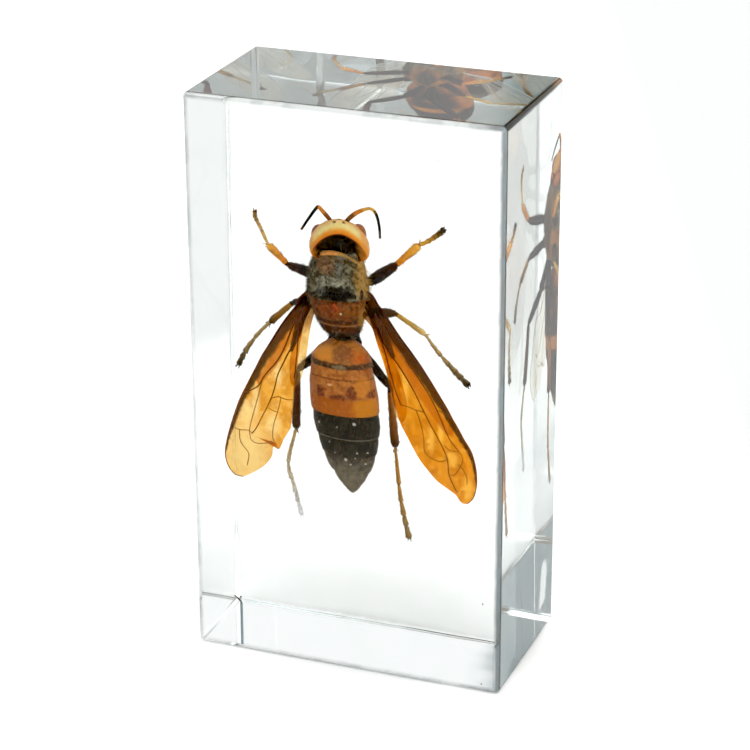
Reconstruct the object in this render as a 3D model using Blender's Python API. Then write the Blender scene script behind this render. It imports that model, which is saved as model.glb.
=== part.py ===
"""A hornet cast in a clear resin block.

The hornet is one dried specimen: head, thorax, abdomen, wings, legs and antennae in one
piece. The resin is one clear casting. Its solid is parted in a plane at the level of the
hornet, so that the hollow which the hornet fills is open on the parting face of both halves.

Frame: metres, +Z up, origin at the middle of the base. The hornet shows its back through
the broad face that looks along -Y. All sizes and places below are in millimetres.
"""

import math

import bmesh
import bpy
from mathutils import Vector

MM = 0.001

# The casting
BLOCK_WIDTH, BLOCK_DEPTH, BLOCK_HEIGHT = 41.0, 22.0, 74.0
EDGE_RADIUS = 0.6
EDGE_STEPS = 3
PARTING_Y = -5.2
PARTING_GAP = 0.3
CLEARANCE = 0.35  # between a limb or a wing and the walls of the hollow
BODY_CLEARANCE = 0.45  # between the body and the walls of the hollow
CUT_PAST = 0.5  # how far every part of the hollow reaches past the parting plane
CHANNEL_STEP = 0.03  # how much further each run of a limb's channel reaches than the last

# The head: a broad lobe, hollow behind, with its face towards +Z and its jaws towards +Y
HEAD_CENTRE, HEAD_RADII = (-1.3, -6.9, 57.2), (3.88, 2.9, 2.35)
HEAD_HOLLOW = 0.9  # how far the underside is pressed up in the middle
EYE_SPREAD, EYE_CENTRE, EYE_RADII = 2.72, (-1.3, -6.0, 57.3), (1.15, 2.1, 1.6)
FACE_CENTRE, FACE_RADII = (-1.3, -4.6, 57.4), (2.3, 2.0, 1.6)
JAW_SPREAD, JAW_ROOT, JAW_TIP = 1.0, (-1.3, -3.4, 57.4), (-1.3, -2.0, 57.2)
JAW_ROOT_RADIUS, JAW_TIP_RADIUS = 0.75, 0.25
JAW_CLOSING = 0.4  # the tips' spread as a share of the roots'

# Trunk stations: height, middle X, middle Y, half width, half thickness
THORAX = [
    (56.6, -1.50, -6.0, 1.1, 1.0),
    (55.2, -1.65, -5.5, 1.5, 1.4),
    (54.7, -1.75, -5.2, 2.4, 2.3),
    (53.7, -1.85, -5.0, 3.15, 3.2),
    (51.9, -1.92, -4.9, 3.8, 3.8),
    (49.6, -1.90, -4.8, 4.1, 4.0),
    (47.4, -1.85, -4.7, 3.9, 3.75),
    (45.7, -1.75, -4.7, 3.4, 3.2),
    (44.4, -1.62, -4.7, 2.6, 2.5),
    (43.2, -1.45, -4.8, 1.5, 1.4),
]
ABDOMEN = [
    (43.6, -1.45, -4.8, 1.0, 0.9),
    (42.7, -1.45, -4.8, 2.5, 2.2),
    (41.2, -1.66, -4.9, 3.75, 3.3),
    (39.0, -1.62, -4.9, 4.2, 3.7),
    (35.6, -1.35, -4.9, 4.45, 3.9),
    (32.0, -1.00, -4.9, 4.2, 3.75),
    (28.6, -0.68, -4.9, 3.55, 3.2),
    (25.6, -0.48, -4.9, 2.45, 2.3),
    (23.0, -0.30, -4.9, 0.5, 0.5),
]
SEGMENT_RIMS = [39.7, 32.6, 29.9, 27.9, 25.8]  # rear rims of the abdomen's plates
RIM_STEP = 0.2
TRUNK_SIDES = 20

# Wing outlines as (X, Z), from the root along the leading edge, round the tip and back
LEFT_LEADING = [
    (-4.6, 50.2), (-6.0, 49.4), (-7.9, 45.4), (-10.5, 41.0), (-13.5, 35.8), (-15.6, 31.7),
    (-16.9, 27.9), (-17.2, 25.6), (-16.7, 23.7), (-15.3, 23.1), (-12.8, 24.3), (-11.0, 26.2),
]
LEFT_TEAR = [(-10.6, 28.0), (-9.9, 27.7)]
LEFT_TRAILING = [
    (-9.1, 29.2), (-8.3, 30.8), (-7.7, 34.6), (-7.2, 38.0), (-6.6, 41.5), (-6.0, 45.5), (-4.8, 48.4),
]
RIGHT_LEADING = [
    (1.2, 50.6), (2.7, 49.9), (4.5, 47.4), (6.9, 44.4), (9.4, 40.8), (12.1, 36.9), (14.3, 33.9),
    (15.8, 31.0), (16.5, 28.0), (16.2, 25.2), (15.2, 24.2), (14.0, 24.8),
]
RIGHT_TRAILING = [
    (11.0, 27.3), (9.4, 29.2), (7.8, 31.7), (6.6, 34.1), (5.9, 37.5), (4.8, 41.2), (3.4, 45.6),
    (1.6, 48.0),
]
LEFT_HIND_WING = [
    (-4.5, 47.6), (-6.4, 46.2), (-8.3, 40.6), (-8.6, 36.2), (-7.5, 37.2), (-6.1, 40.0),
    (-5.5, 43.5), (-4.3, 46.6),
]
RIGHT_HIND_WING = [
    (1.1, 47.6), (3.0, 46.2), (6.2, 40.6), (7.4, 35.6), (6.4, 34.2), (5.7, 36.4),
    (4.7, 39.6), (3.0, 44.8), (1.0, 46.2),
]
WING_ROOT_Z, WING_ROOT_Y, WING_TIP_Z, WING_TIP_Y = 49.0, -7.0, 24.0, -6.3
HIND_WING_BEHIND = 0.5  # the hind wing's middle lies this far behind the fore wing's
WING_THICKNESS = 0.4
WING_CLEARANCE = 0.5  # round a wing's outline

# Legs: hip, knee, ankle, a joint of the foot and the toe. The hip is sunk in the thorax.
LEGS = {
    "left_front": [(-4.0, -2.6, 50.6), (-9.8, 0.2, 50.9), (-12.6, 0.8, 53.0), (-14.0, 0.2, 56.4),
                   (-13.6, -0.6, 57.9)],
    "right_front": [(0.4, -2.6, 50.1), (4.0, 1.6, 52.3), (6.9, 1.8, 55.1), (9.2, 1.2, 56.7),
                    (10.6, 0.6, 57.9)],
    "left_middle": [(-3.9, -2.8, 47.8), (-9.3, 0.6, 46.0), (-12.5, 1.2, 42.8), (-15.6, 0.6, 39.1),
                    (-16.9, 0.0, 36.4)],
    "right_middle": [(0.1, -2.8, 46.8), (4.3, 1.2, 46.2), (7.8, 1.0, 44.0), (11.7, -1.6, 41.0),
                     (14.9, -4.2, 39.3)],
    "left_hind": [(-2.9, -3.0, 45.5), (-9.0, 0.8, 36.8), (-9.6, 1.8, 28.5), (-10.7, 2.0, 23.7),
                  (-9.0, 2.2, 16.0)],
    "right_hind": [(-0.6, -3.0, 45.3), (3.3, 1.6, 36.2), (3.9, 2.0, 27.9), (4.4, 2.4, 21.5),
                   (5.6, 2.3, 15.3)],
}
HIP_RADIUS, THIGH_RADIUS, KNEE_RADIUS = 0.7, 0.66, 0.42
SHIN_RADIUS, HIND_SHIN_RADIUS, ANKLE_RADIUS = 0.46, 0.54, 0.34
FOOT_RADIUS, TOE_RADIUS = 0.26, 0.2
LEG_SIDES = 8

# Antennae: socket on the head, elbow, bend and tip
ANTENNAE = {
    "left": [(-2.3, -6.2, 58.6), (-3.2, -6.9, 59.9), (-4.2, -7.0, 60.6), (-4.7, -6.8, 60.1),
             (-6.4, -6.0, 57.4)],
    "right": [(-0.7, -6.2, 58.8), (0.9, -7.0, 60.4), (2.1, -7.1, 61.1), (3.1, -7.0, 61.1),
              (3.5, -6.6, 59.8), (3.7, -6.0, 57.4)],
}
ANTENNA_RADIUS = 0.26
ANTENNA_SIDES = 6

RESIN = {"colour": (0.93, 0.96, 0.95, 1.0), "roughness": 0.03, "metallic": 0.0}
CHITIN = {"colour": (0.45, 0.22, 0.06, 1.0), "roughness": 0.5, "metallic": 0.0}


def clear_scene():
    for thing in list(bpy.data.objects):
        bpy.data.objects.remove(thing, do_unlink=True)


def material(name, finish):
    made = bpy.data.materials.new(name)
    made.use_nodes = True
    shader = made.node_tree.nodes["Principled BSDF"]
    shader.inputs["Base Color"].default_value = finish["colour"]
    shader.inputs["Roughness"].default_value = finish["roughness"]
    shader.inputs["Metallic"].default_value = finish["metallic"]
    made.diffuse_color = finish["colour"]
    return made


def make_object(name, bm, is_guide=True, is_round=False):
    """Turn a bmesh in millimetres into an object in metres; a guide only cuts or joins."""
    bmesh.ops.recalc_face_normals(bm, faces=bm.faces)
    if bm.calc_volume(signed=True) < 0:
        bmesh.ops.reverse_faces(bm, faces=bm.faces)
    bmesh.ops.scale(bm, vec=(MM, MM, MM), verts=bm.verts)
    mesh = bpy.data.meshes.new(name)
    bm.to_mesh(mesh)
    bm.free()
    if is_round:
        mesh.shade_smooth()
    thing = bpy.data.objects.new(name, mesh)
    bpy.context.scene.collection.objects.link(thing)
    if is_guide:
        thing.hide_render = True
        thing.display_type = "WIRE"
    return thing


def combine(target, others, operation):
    for other in others:
        step = target.modifiers.new(other.name, "BOOLEAN")
        step.operation = operation
        step.solver = "EXACT"
        step.object = other


def smooth_curve(points, steps, closed=False):
    """Points on a smooth curve through the given ones, with steps points for each span."""
    points = [Vector(p) for p in points]
    count = len(points)
    curve = []
    for i in range(count if closed else count - 1):
        p1, p2 = points[i], points[(i + 1) % count]
        p0 = points[i - 1] if closed or i else p1
        p3 = points[(i + 2) % count] if closed or i + 2 < count else p2
        for k in range(steps):
            t = k / steps
            curve.append(0.5 * (2 * p1 + (p2 - p0) * t + (2 * p0 - 5 * p1 + 4 * p2 - p3) * t ** 2
                                + (3 * p1 - p0 - 3 * p2 + p3) * t ** 3))
    return curve if closed else curve + [points[-1]]


def skin_rings(rings):
    """A closed surface through rings of equally many points, with a flat face on each end."""
    bm = bmesh.new()
    loops = [[bm.verts.new(p) for p in ring] for ring in rings]
    for one, other in zip(loops, loops[1:]):
        for i in range(len(one)):
            j = (i + 1) % len(one)
            bm.faces.new((one[i], one[j], other[j], other[i]))
    bm.faces.new(loops[0])
    bm.faces.new(loops[-1])
    return bm


def box(name, low, high):
    bm = bmesh.new()
    bmesh.ops.create_cube(bm, size=1.0)
    for vert in bm.verts:
        vert.co = Vector([high[i] if vert.co[i] > 0 else low[i] for i in range(3)])
    return make_object(name, bm)


def lobe(name, centre, radii, columns, rows, hollow=0.0, grow=0.0):
    """An ellipsoid with its poles on the X axis; hollow presses its underside up in the middle."""
    bm = bmesh.new()
    bmesh.ops.create_uvsphere(bm, u_segments=columns, v_segments=rows, radius=1.0)
    for vert in bm.verts:
        x, y, z = vert.co.z, vert.co.x, vert.co.y
        lift = hollow * (1 - x * x) * (1 - 0.4 * y * y) if z < 0 else 0.0
        vert.co = Vector((centre[0] + x * (radii[0] + grow), centre[1] + y * (radii[1] + grow),
                          centre[2] + z * (radii[2] + grow) - lift * z))
    return make_object(name, bm, is_round=True)


def smooth_stations(stations, rims):
    """Stations on a smooth curve through the given ones, with a small step down at each rim."""
    places = smooth_curve([s[:3] for s in stations], 2)
    widths = smooth_curve([(s[0], s[3], s[4]) for s in stations], 2)
    made = [(p.x, p.y, p.z, w.y, w.z) for p, w in zip(places, widths)]
    for rim in rims:
        made = [s for s in made if abs(s[0] - rim) > RIM_STEP]
        above = min((s for s in made if s[0] > rim), key=lambda s: s[0])
        below = max((s for s in made if s[0] < rim), key=lambda s: s[0])
        share = (above[0] - rim) / (above[0] - below[0])
        here = [a + (b - a) * share for a, b in zip(above, below)]
        for side in (1, -1):
            z = rim if side > 0 else rim - RIM_STEP / 2
            width, thickness = (value + side * RIM_STEP / 2 for value in here[3:])
            made.append((z, here[1], here[2], width, thickness))
    return sorted(made, reverse=True)


def trunk(name, stations, rims=(), grow=0.0):
    """A body of elliptic sections; each plate widens to its rear rim and the next starts in it."""
    rings = []
    for z, x, y, half_width, half_thickness in smooth_stations(stations, rims):
        ring = []
        for i in range(TRUNK_SIDES):
            angle = 2 * math.pi * (i + 0.5) / TRUNK_SIDES
            ring.append(Vector((x + (half_width + grow) * math.cos(angle),
                                y + (half_thickness + grow) * math.sin(angle), z)))
        rings.append(ring)
    lift = Vector((0, 0, grow))
    rings[0] = [point + lift for point in rings[0]]
    rings[-1] = [point - lift for point in rings[-1]]
    return make_object(name, skin_rings(rings), is_round=True)


def tube(name, points, radii, sides):
    """A round limb through the points, with its own radius at each."""
    rings = []
    for i, (point, radius) in enumerate(zip(points, radii)):
        along = (points[min(i + 1, len(points) - 1)] - points[max(i - 1, 0)]).normalized()
        across = along.cross(Vector((0, 1, 0))).normalized()
        up = across.cross(along)
        turns = [2 * math.pi * k / sides for k in range(sides)]
        rings.append([point + radius * (across * math.cos(a) + up * math.sin(a)) for a in turns])
    return make_object(name, skin_rings(rings), is_round=True)


def channels(name, joints, radii):
    """The hollow round a limb: a square-sided channel for each straight run between two joints.

    Every channel reaches across the parting plane, each a little further than the one before,
    so that no two floors lie in one plane.
    """
    made = []
    for i, (start, end, radius) in enumerate(zip(joints, joints[1:], radii)):
        reach = radius + CLEARANCE
        along = Vector((end.x - start.x, 0, end.z - start.z)).normalized() * reach
        across = Vector((along.z, 0, -along.x))
        past = CUT_PAST + (i + 1) * CHANNEL_STEP
        rings = []
        for joint, shift in ((start, -along), (end, along)):
            near = Vector((0, min(joint.y - reach, PARTING_Y - past), 0))
            far = Vector((0, max(joint.y + reach, PARTING_Y + past), 0))
            middle = Vector((joint.x, 0, joint.z)) + shift
            rings.append([middle - across + near, middle + across + near,
                          middle + across + far, middle - across + far])
        made.append(make_object(f"{name}_{i}", skin_rings(rings)))
    return made


def wing_y(z):
    """The fore wing's middle Y at height z: the wings slope back a little to their tips."""
    share = (WING_ROOT_Z - z) / (WING_ROOT_Z - WING_TIP_Z)
    return WING_ROOT_Y + (WING_TIP_Y - WING_ROOT_Y) * share


def plate(name, outline, behind=0.0):
    """A wing: its outline in X and Z with a thickness along Y."""
    middle = [Vector((p.x, wing_y(p.y) + behind, p.y)) for p in outline]
    half = Vector((0, WING_THICKNESS / 2, 0))
    return make_object(name, skin_rings([[p - half for p in middle], [p + half for p in middle]]))


def widened(outline, distance):
    """The outline moved outwards by the distance."""
    area = sum(a.cross(b) for a, b in zip(outline, outline[1:] + outline[:1]))
    turn = 1 if area > 0 else -1
    moved = []
    for i, point in enumerate(outline):
        along = (outline[(i + 1) % len(outline)] - outline[i - 1]).normalized()
        moved.append(point + Vector((along.y, -along.x)) * distance * turn)
    return moved


def wing_slot(name, outline):
    """The hollow round a wing: its widened outline, cut across the parting plane."""
    wide = widened(outline, WING_CLEARANCE)
    near = [Vector((p.x, wing_y(p.y) - WING_THICKNESS / 2 - CLEARANCE, p.y)) for p in wide]
    far = [Vector((p.x, PARTING_Y + CUT_PAST, p.y)) for p in wide]
    return make_object(name, skin_rings([near, far]))


def shin_radius_of(leg):
    return HIND_SHIN_RADIUS if leg.endswith("hind") else SHIN_RADIUS


def leg_channels(leg):
    radii = [HIP_RADIUS, shin_radius_of(leg), ANKLE_RADIUS, FOOT_RADIUS]
    return channels(f"{leg}_leg_hollow", [Vector(p) for p in LEGS[leg]], radii)


def antenna_channels(side):
    joints = [Vector(p) for p in ANTENNAE[side]]
    return channels(f"{side}_antenna_hollow", joints, [ANTENNA_RADIUS] * (len(joints) - 1))


def leg_course(leg):
    """Points and radii along a leg, with the swell of the thigh and of the shin."""
    hip, knee, ankle, foot, toe = [Vector(p) for p in LEGS[leg]]
    course = [
        (hip, HIP_RADIUS),
        (hip.lerp(knee, 0.55), THIGH_RADIUS),
        (knee.lerp(hip, 0.08), KNEE_RADIUS),
        (knee.lerp(ankle, 0.1), KNEE_RADIUS * 0.85),
        (knee.lerp(ankle, 0.6), shin_radius_of(leg)),
        (ankle, ANKLE_RADIUS),
        (ankle.lerp(foot, 0.15), FOOT_RADIUS),
        (foot, FOOT_RADIUS),
        (toe, TOE_RADIUS),
    ]
    return [p for p, _ in course], [r for _, r in course]


def antenna_course(side):
    points = smooth_curve(ANTENNAE[side], 2)
    return points, [ANTENNA_RADIUS] * len(points)


def left_wing_outline(torn):
    tear = LEFT_TEAR if torn else []
    return smooth_curve(LEFT_LEADING + tear + LEFT_TRAILING, 2, closed=True)


def right_wing_outline():
    return smooth_curve(RIGHT_LEADING + RIGHT_TRAILING, 2, closed=True)


def eye_centre(side):
    return (EYE_CENTRE[0] + side * EYE_SPREAD, EYE_CENTRE[1], EYE_CENTRE[2])


def jaw_course(side):
    across = Vector((JAW_SPREAD, 0, 0)) * side
    points = [Vector(JAW_ROOT) + across, Vector(JAW_TIP) + across * JAW_CLOSING]
    return points, [JAW_ROOT_RADIUS, JAW_TIP_RADIUS]


def hornet_pieces():
    """Everything that grew on the thorax."""
    pieces = [lobe("head", HEAD_CENTRE, HEAD_RADII, 20, 14, hollow=HEAD_HOLLOW)]
    pieces.append(lobe("face", FACE_CENTRE, FACE_RADII, 12, 8))
    pieces += [lobe(f"eye_{i}", eye_centre(side), EYE_RADII, 12, 8) for i, side in enumerate((-1, 1))]
    pieces += [tube(f"jaw_{i}", *jaw_course(side), LEG_SIDES) for i, side in enumerate((-1, 1))]
    pieces.append(trunk("abdomen", ABDOMEN, SEGMENT_RIMS))
    pieces.append(plate("left_fore_wing", left_wing_outline(torn=True)))
    pieces.append(plate("right_fore_wing", right_wing_outline()))
    pieces.append(plate("left_hind_wing", smooth_curve(LEFT_HIND_WING, 2, True), HIND_WING_BEHIND))
    pieces.append(plate("right_hind_wing", smooth_curve(RIGHT_HIND_WING, 2, True), HIND_WING_BEHIND))
    pieces += [tube(f"{leg}_leg", *leg_course(leg), LEG_SIDES) for leg in LEGS]
    pieces += [tube(f"{side}_antenna", *antenna_course(side), ANTENNA_SIDES) for side in ANTENNAE]
    return pieces


def make_hornet():
    hornet = trunk("hornet", THORAX)
    hornet.hide_render = False
    hornet.display_type = "TEXTURED"
    combine(hornet, hornet_pieces(), "UNION")
    hornet.data.materials.append(material("dried_chitin", CHITIN))
    return hornet


def hollow_pieces():
    """The cutters of the hollow. Each crosses the parting plane, so nothing is sealed in a half."""
    grow = BODY_CLEARANCE
    pieces = [lobe("head_hollow", HEAD_CENTRE, HEAD_RADII, 16, 12, grow=grow)]
    pieces.append(lobe("face_hollow", FACE_CENTRE, FACE_RADII, 12, 8, grow=grow))
    pieces += [lobe(f"eye_hollow_{i}", eye_centre(side), EYE_RADII, 12, 8, grow=grow)
               for i, side in enumerate((-1, 1))]
    for side, jaw in ((-1, "left_jaw_hollow"), (1, "right_jaw_hollow")):
        pieces += channels(jaw, *jaw_course(side))
    pieces.append(trunk("thorax_hollow", THORAX, grow=grow))
    pieces.append(trunk("abdomen_hollow", ABDOMEN, grow=grow + RIM_STEP / 2))
    pieces.append(wing_slot("left_wing_hollow", left_wing_outline(torn=False)))
    pieces.append(wing_slot("right_wing_hollow", right_wing_outline()))
    pieces.append(wing_slot("left_hind_wing_hollow", smooth_curve(LEFT_HIND_WING, 1, True)))
    pieces.append(wing_slot("right_hind_wing_hollow", smooth_curve(RIGHT_HIND_WING, 1, True)))
    for leg in LEGS:
        pieces += leg_channels(leg)
    for side in ANTENNAE:
        pieces += antenna_channels(side)
    return pieces


def make_resin_half(name, near_y, far_y, hollows):
    """One half of the casting: the round-edged block between two Y planes, less the hollow."""
    bm = bmesh.new()
    bmesh.ops.create_cube(bm, size=1.0)
    bmesh.ops.scale(bm, vec=(BLOCK_WIDTH, BLOCK_DEPTH, BLOCK_HEIGHT), verts=bm.verts)
    bmesh.ops.translate(bm, vec=(0, 0, BLOCK_HEIGHT / 2), verts=bm.verts)
    half = make_object(name, bm, is_guide=False)
    rounding = half.modifiers.new("edge rounding", "BEVEL")
    rounding.width = EDGE_RADIUS * MM
    rounding.segments = EDGE_STEPS
    low = (-BLOCK_WIDTH, near_y, -BLOCK_HEIGHT)
    high = (BLOCK_WIDTH, far_y, 2 * BLOCK_HEIGHT)
    combine(half, [box(f"{name}_side", low, high)], "INTERSECT")
    combine(half, hollows, "DIFFERENCE")
    half.data.materials.append(material(f"{name}_clear", RESIN))
    return half


def main():
    clear_scene()
    make_hornet()
    hollows = hollow_pieces()
    make_resin_half("resin_front", -BLOCK_DEPTH, PARTING_Y - PARTING_GAP / 2, hollows)
    make_resin_half("resin_back", PARTING_Y + PARTING_GAP / 2, BLOCK_DEPTH, hollows)


main()
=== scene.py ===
"""A hornet in a clear resin block.

Every piece is made in millimetres and brought to metres when it is finished. X runs to the right,
Y away from the viewer and Z up, and the origin is in the middle of the block's bottom face. The
hornet hangs upright in the block, with its back towards -Y and its head up.
"""
import math

import bpy
import numpy as np
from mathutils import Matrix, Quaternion, Vector


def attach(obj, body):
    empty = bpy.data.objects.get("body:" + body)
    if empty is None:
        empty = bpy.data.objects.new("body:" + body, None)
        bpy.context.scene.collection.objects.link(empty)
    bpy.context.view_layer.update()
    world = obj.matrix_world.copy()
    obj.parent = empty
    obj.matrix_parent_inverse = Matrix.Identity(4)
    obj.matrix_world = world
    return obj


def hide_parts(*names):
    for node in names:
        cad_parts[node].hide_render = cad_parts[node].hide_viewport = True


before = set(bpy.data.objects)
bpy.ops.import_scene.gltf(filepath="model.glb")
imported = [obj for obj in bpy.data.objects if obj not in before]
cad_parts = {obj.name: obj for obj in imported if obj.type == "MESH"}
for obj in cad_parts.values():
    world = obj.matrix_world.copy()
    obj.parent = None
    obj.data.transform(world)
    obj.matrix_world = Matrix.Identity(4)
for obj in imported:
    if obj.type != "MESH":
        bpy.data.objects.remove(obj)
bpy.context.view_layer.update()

# ---------------------------------------------------------------- sizes, in millimetres

BLOCK_WIDE, BLOCK_DEEP, BLOCK_TALL = 41.0, 22.0, 74.0
BLOCK_EDGE = 0.6
RESIN_INDEX, RESIN_ABSORPTION, RESIN_WAVE = 1.5, 7.5, 0.00003  # the wave's height is in metres

HEAD_CENTRE = (-1.38, -6.75, 56.95)
HEAD_BOW, HEAD_TURN = 50.0, 13.0  # in degrees: face to the belly, back of the head to the right
# Rings of the head from the bottom of its hollow back round the rim to the face:
# place along the head, half width, half height, colour
# In the hollow the near-black is partly the head's own dark back and partly painted shade, and the pale
# yellow at the crown, near -0.70 and -0.10, is partly the head's yellow and partly a painted highlight.
HEAD_RINGS = [
    (-0.30, 0.70, 0.60, "0C0503"), (-0.42, 1.50, 1.20, "100604"), (-0.75, 2.25, 1.72, "180805"),
    (-1.20, 2.85, 2.12, "1C0906"), (-1.55, 3.16, 2.34, "240B06"), (-1.72, 3.34, 2.46, "8A3A10"),
    (-1.74, 3.48, 2.56, "D86C14"), (-1.60, 3.60, 2.64, "F08C20"), (-1.25, 3.72, 2.70, "FAAA40"),
    (-0.70, 3.80, 2.74, "FFEA98"), (-0.10, 3.80, 2.68, "FFE098"), (0.50, 3.70, 2.54, "FCCC78"),
    (1.05, 3.45, 2.22, "F8BC64"), (1.50, 3.10, 1.90, "F0A844"), (1.85, 2.60, 1.50, "DE9030"),
    (2.08, 1.90, 1.20, "D98428"), (2.20, 1.05, 0.70, "D98428"), (2.24, 0.40, 0.30, "D98428"),
]

# Trunk stations: height, middle X, middle Y, half width, half thickness
THORAX = [
    (56.7, -1.55, -6.1, 0.8, 0.7), (56.2, -1.55, -5.9, 1.2, 1.1), (55.6, -1.62, -5.6, 1.7, 1.35),
    (55.2, -1.72, -5.40, 2.35, 2.1), (54.7, -1.80, -5.25, 2.85, 2.75), (53.7, -1.95, -5.0, 3.25, 3.3),
    (51.9, -2.05, -4.9, 3.65, 3.8), (49.6, -2.05, -4.8, 3.95, 4.0), (47.4, -1.95, -4.7, 3.55, 3.7),
    (45.7, -1.80, -4.7, 2.95, 3.15), (44.6, -1.65, -4.75, 2.4, 2.45), (43.7, -1.50, -4.8, 1.45, 1.5),
    (43.2, -1.45, -4.8, 1.0, 1.0),
]
ABDOMEN = [
    (43.75, -1.45, -4.8, 0.9, 0.8), (43.35, -1.45, -4.8, 1.6, 1.45), (42.8, -1.46, -4.8, 2.5, 2.2),
    (42.0, -1.58, -4.85, 3.3, 2.9), (41.0, -1.64, -4.9, 3.85, 3.4), (39.0, -1.62, -4.9, 4.2, 3.7),
    (35.6, -1.35, -4.9, 4.45, 3.9), (32.0, -1.00, -4.9, 4.25, 3.75), (28.6, -0.68, -4.9, 3.55, 3.2),
    (26.6, -0.54, -4.9, 2.80, 2.6), (25.0, -0.45, -4.9, 1.95, 1.85), (23.9, -0.37, -4.9, 1.12, 1.1),
    (23.2, -0.32, -4.9, 0.52, 0.5), (22.9, -0.30, -4.9, 0.15, 0.15),
]
PLATE_RIMS = [40.25, 34.1, 31.0, 28.5, 26.1]  # rear rims of the abdomen's plates
PLATE_STEP = 0.17
# Furrows across the back of the thorax: height in the middle, bend towards the sides, half width
# and depth. One is a ridge, with a depth below nothing.
THORAX_FURROWS = [
    (49.05, 0.04, 0.16, 0.30), (46.3, 0.0, 0.13, 0.15), (45.95, 0.0, 0.12, -0.06),
    (45.5, 0.0, 0.14, 0.20), (54.35, -0.12, 0.16, 0.25),
]
FLANK_FURROWS = [(51.9, 0.4), (48.6, 0.5), (46.2, 0.3)]  # height and slant

# Pale specks on the tail: place and size
TAIL_SPECKS = [
    (-4.1, -7.7, 32.6, 0.13), (0.7, -8.4, 33.2, 0.2), (-0.5, -8.0, 28.1, 0.2), (0.1, -7.7, 27.5, 0.12),
    (1.0, -7.8, 29.2, 0.12), (0.7, -7.8, 28.4, 0.1), (2.2, -6.8, 29.2, 0.12), (1.8, -6.8, 27.6, 0.12),
    (-2.6, -8.3, 30.2, 0.08), (-1.4, -8.3, 32.6, 0.08), (-1.9, -8.0, 28.9, 0.08),
]

# Wings as (X, Z), from the root. The leading and the trailing side meet at the tip.
LEFT_LEADING = [
    (-5.0, 50.1), (-6.4, 48.9), (-7.0, 47.6), (-7.9, 46.4), (-9.2, 44.5), (-10.4, 42.5),
    (-11.7, 40.4), (-12.5, 38.8), (-13.4, 37.1), (-14.3, 35.3), (-15.2, 33.4), (-15.9, 31.5),
    (-16.5, 29.6), (-17.0, 27.9), (-17.3, 26.4), (-17.2, 25.1), (-16.7, 23.9), (-15.9, 23.2),
    (-14.9, 23.1),
]
LEFT_TRAILING = [
    (-4.3, 49.0), (-5.8, 46.1), (-6.6, 43.0), (-7.0, 40.3), (-7.3, 38.2), (-7.6, 36.2),
    (-7.8, 34.1), (-8.0, 32.3), (-8.2, 31.0), (-8.6, 30.2), (-9.2, 29.2), (-9.5, 28.4),
    (-9.9, 27.7), (-10.2, 28.4), (-10.5, 28.6), (-10.7, 27.6), (-10.9, 26.6), (-11.6, 25.5),
    (-12.7, 24.5), (-14.0, 23.6), (-14.9, 23.1),
]
RIGHT_LEADING = [
    (1.6, 51.0), (2.9, 50.2), (3.6, 49.1), (4.4, 48.1), (5.3, 46.8), (6.5, 45.1), (7.7, 43.6),
    (9.0, 41.9), (10.3, 40.0), (11.6, 38.0), (12.5, 36.6), (13.1, 35.5), (13.9, 34.2),
    (14.7, 32.8), (15.5, 31.6), (16.0, 30.3), (16.3, 28.9), (16.4, 27.4), (16.2, 26.0),
    (15.8, 24.9), (15.1, 24.2),
]
RIGHT_TRAILING = [
    (1.3, 49.8), (2.6, 46.8), (3.5, 43.8), (4.2, 41.7), (4.8, 39.6), (5.3, 37.4), (5.9, 35.5),
    (6.5, 33.7), (7.3, 32.2), (8.1, 30.7), (9.0, 29.2), (10.2, 27.8), (11.3, 26.7), (12.6, 25.9),
    (13.7, 25.2), (14.1, 24.6), (14.6, 24.2), (15.1, 24.2),
]
LEFT_HIND_LEADING = [
    (-5.2, 48.0), (-6.4, 46.0), (-7.4, 43.4), (-8.0, 41.0), (-8.3, 38.8), (-8.2, 37.0),
    (-7.7, 36.4),
]
LEFT_HIND_TRAILING = [
    (-4.6, 47.6), (-5.2, 45.4), (-5.6, 43.4), (-5.9, 41.6), (-6.2, 40.0), (-6.6, 38.2),
    (-7.2, 36.9), (-7.7, 36.4),
]
RIGHT_HIND_LEADING = [
    (1.6, 48.2), (3.2, 46.4), (4.8, 43.6), (5.9, 41.0), (6.8, 38.2), (7.2, 36.0), (7.0, 34.4),
    (6.6, 33.8),
]
RIGHT_HIND_TRAILING = [
    (1.2, 47.4), (2.6, 46.0), (3.4, 44.2), (4.0, 42.6), (4.5, 40.8), (5.0, 38.4), (5.3, 36.4),
    (5.7, 34.8), (6.2, 34.0), (6.6, 33.8),
]
WING_ROOT_Z, WING_ROOT_Y, WING_TIP_Z, WING_TIP_Y = 49.0, -7.0, 24.0, -6.3
HIND_WING_BEHIND = 0.45
MEMBRANE = 0.05
# Smoky and rusty streaks in the wings: half width at both ends, then the middle line
LEFT_SMOKE = [
    (1.15, 0.20, LEFT_LEADING[1:15]),
    (0.95, 0.20, [(-4.9, 49.4), (-5.7, 48.0), (-6.3, 46.4), (-6.8, 44.8), (-7.3, 43.2), (-7.9, 41.5)]),
]
LEFT_RUST = [
    (0.75, 0.40, [(-7.3, 45.6), (-7.8, 44.4), (-8.8, 42.5), (-9.9, 40.4), (-11.2, 38.3), (-12.3, 36.6)]),
]
RIGHT_SMOKE = [
    (1.45, 0.22, RIGHT_LEADING[1:18]),
    (1.10, 0.30, [(2.0, 50.2), (3.1, 48.3), (3.9, 46.3), (4.6, 44.6), (5.5, 42.6)]),
]
RIGHT_RUST = [
    (0.75, 0.45, [(4.8, 45.4), (6.0, 43.4), (7.9, 40.4), (9.7, 37.7), (11.2, 35.5), (12.8, 33.6)]),
]

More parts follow.
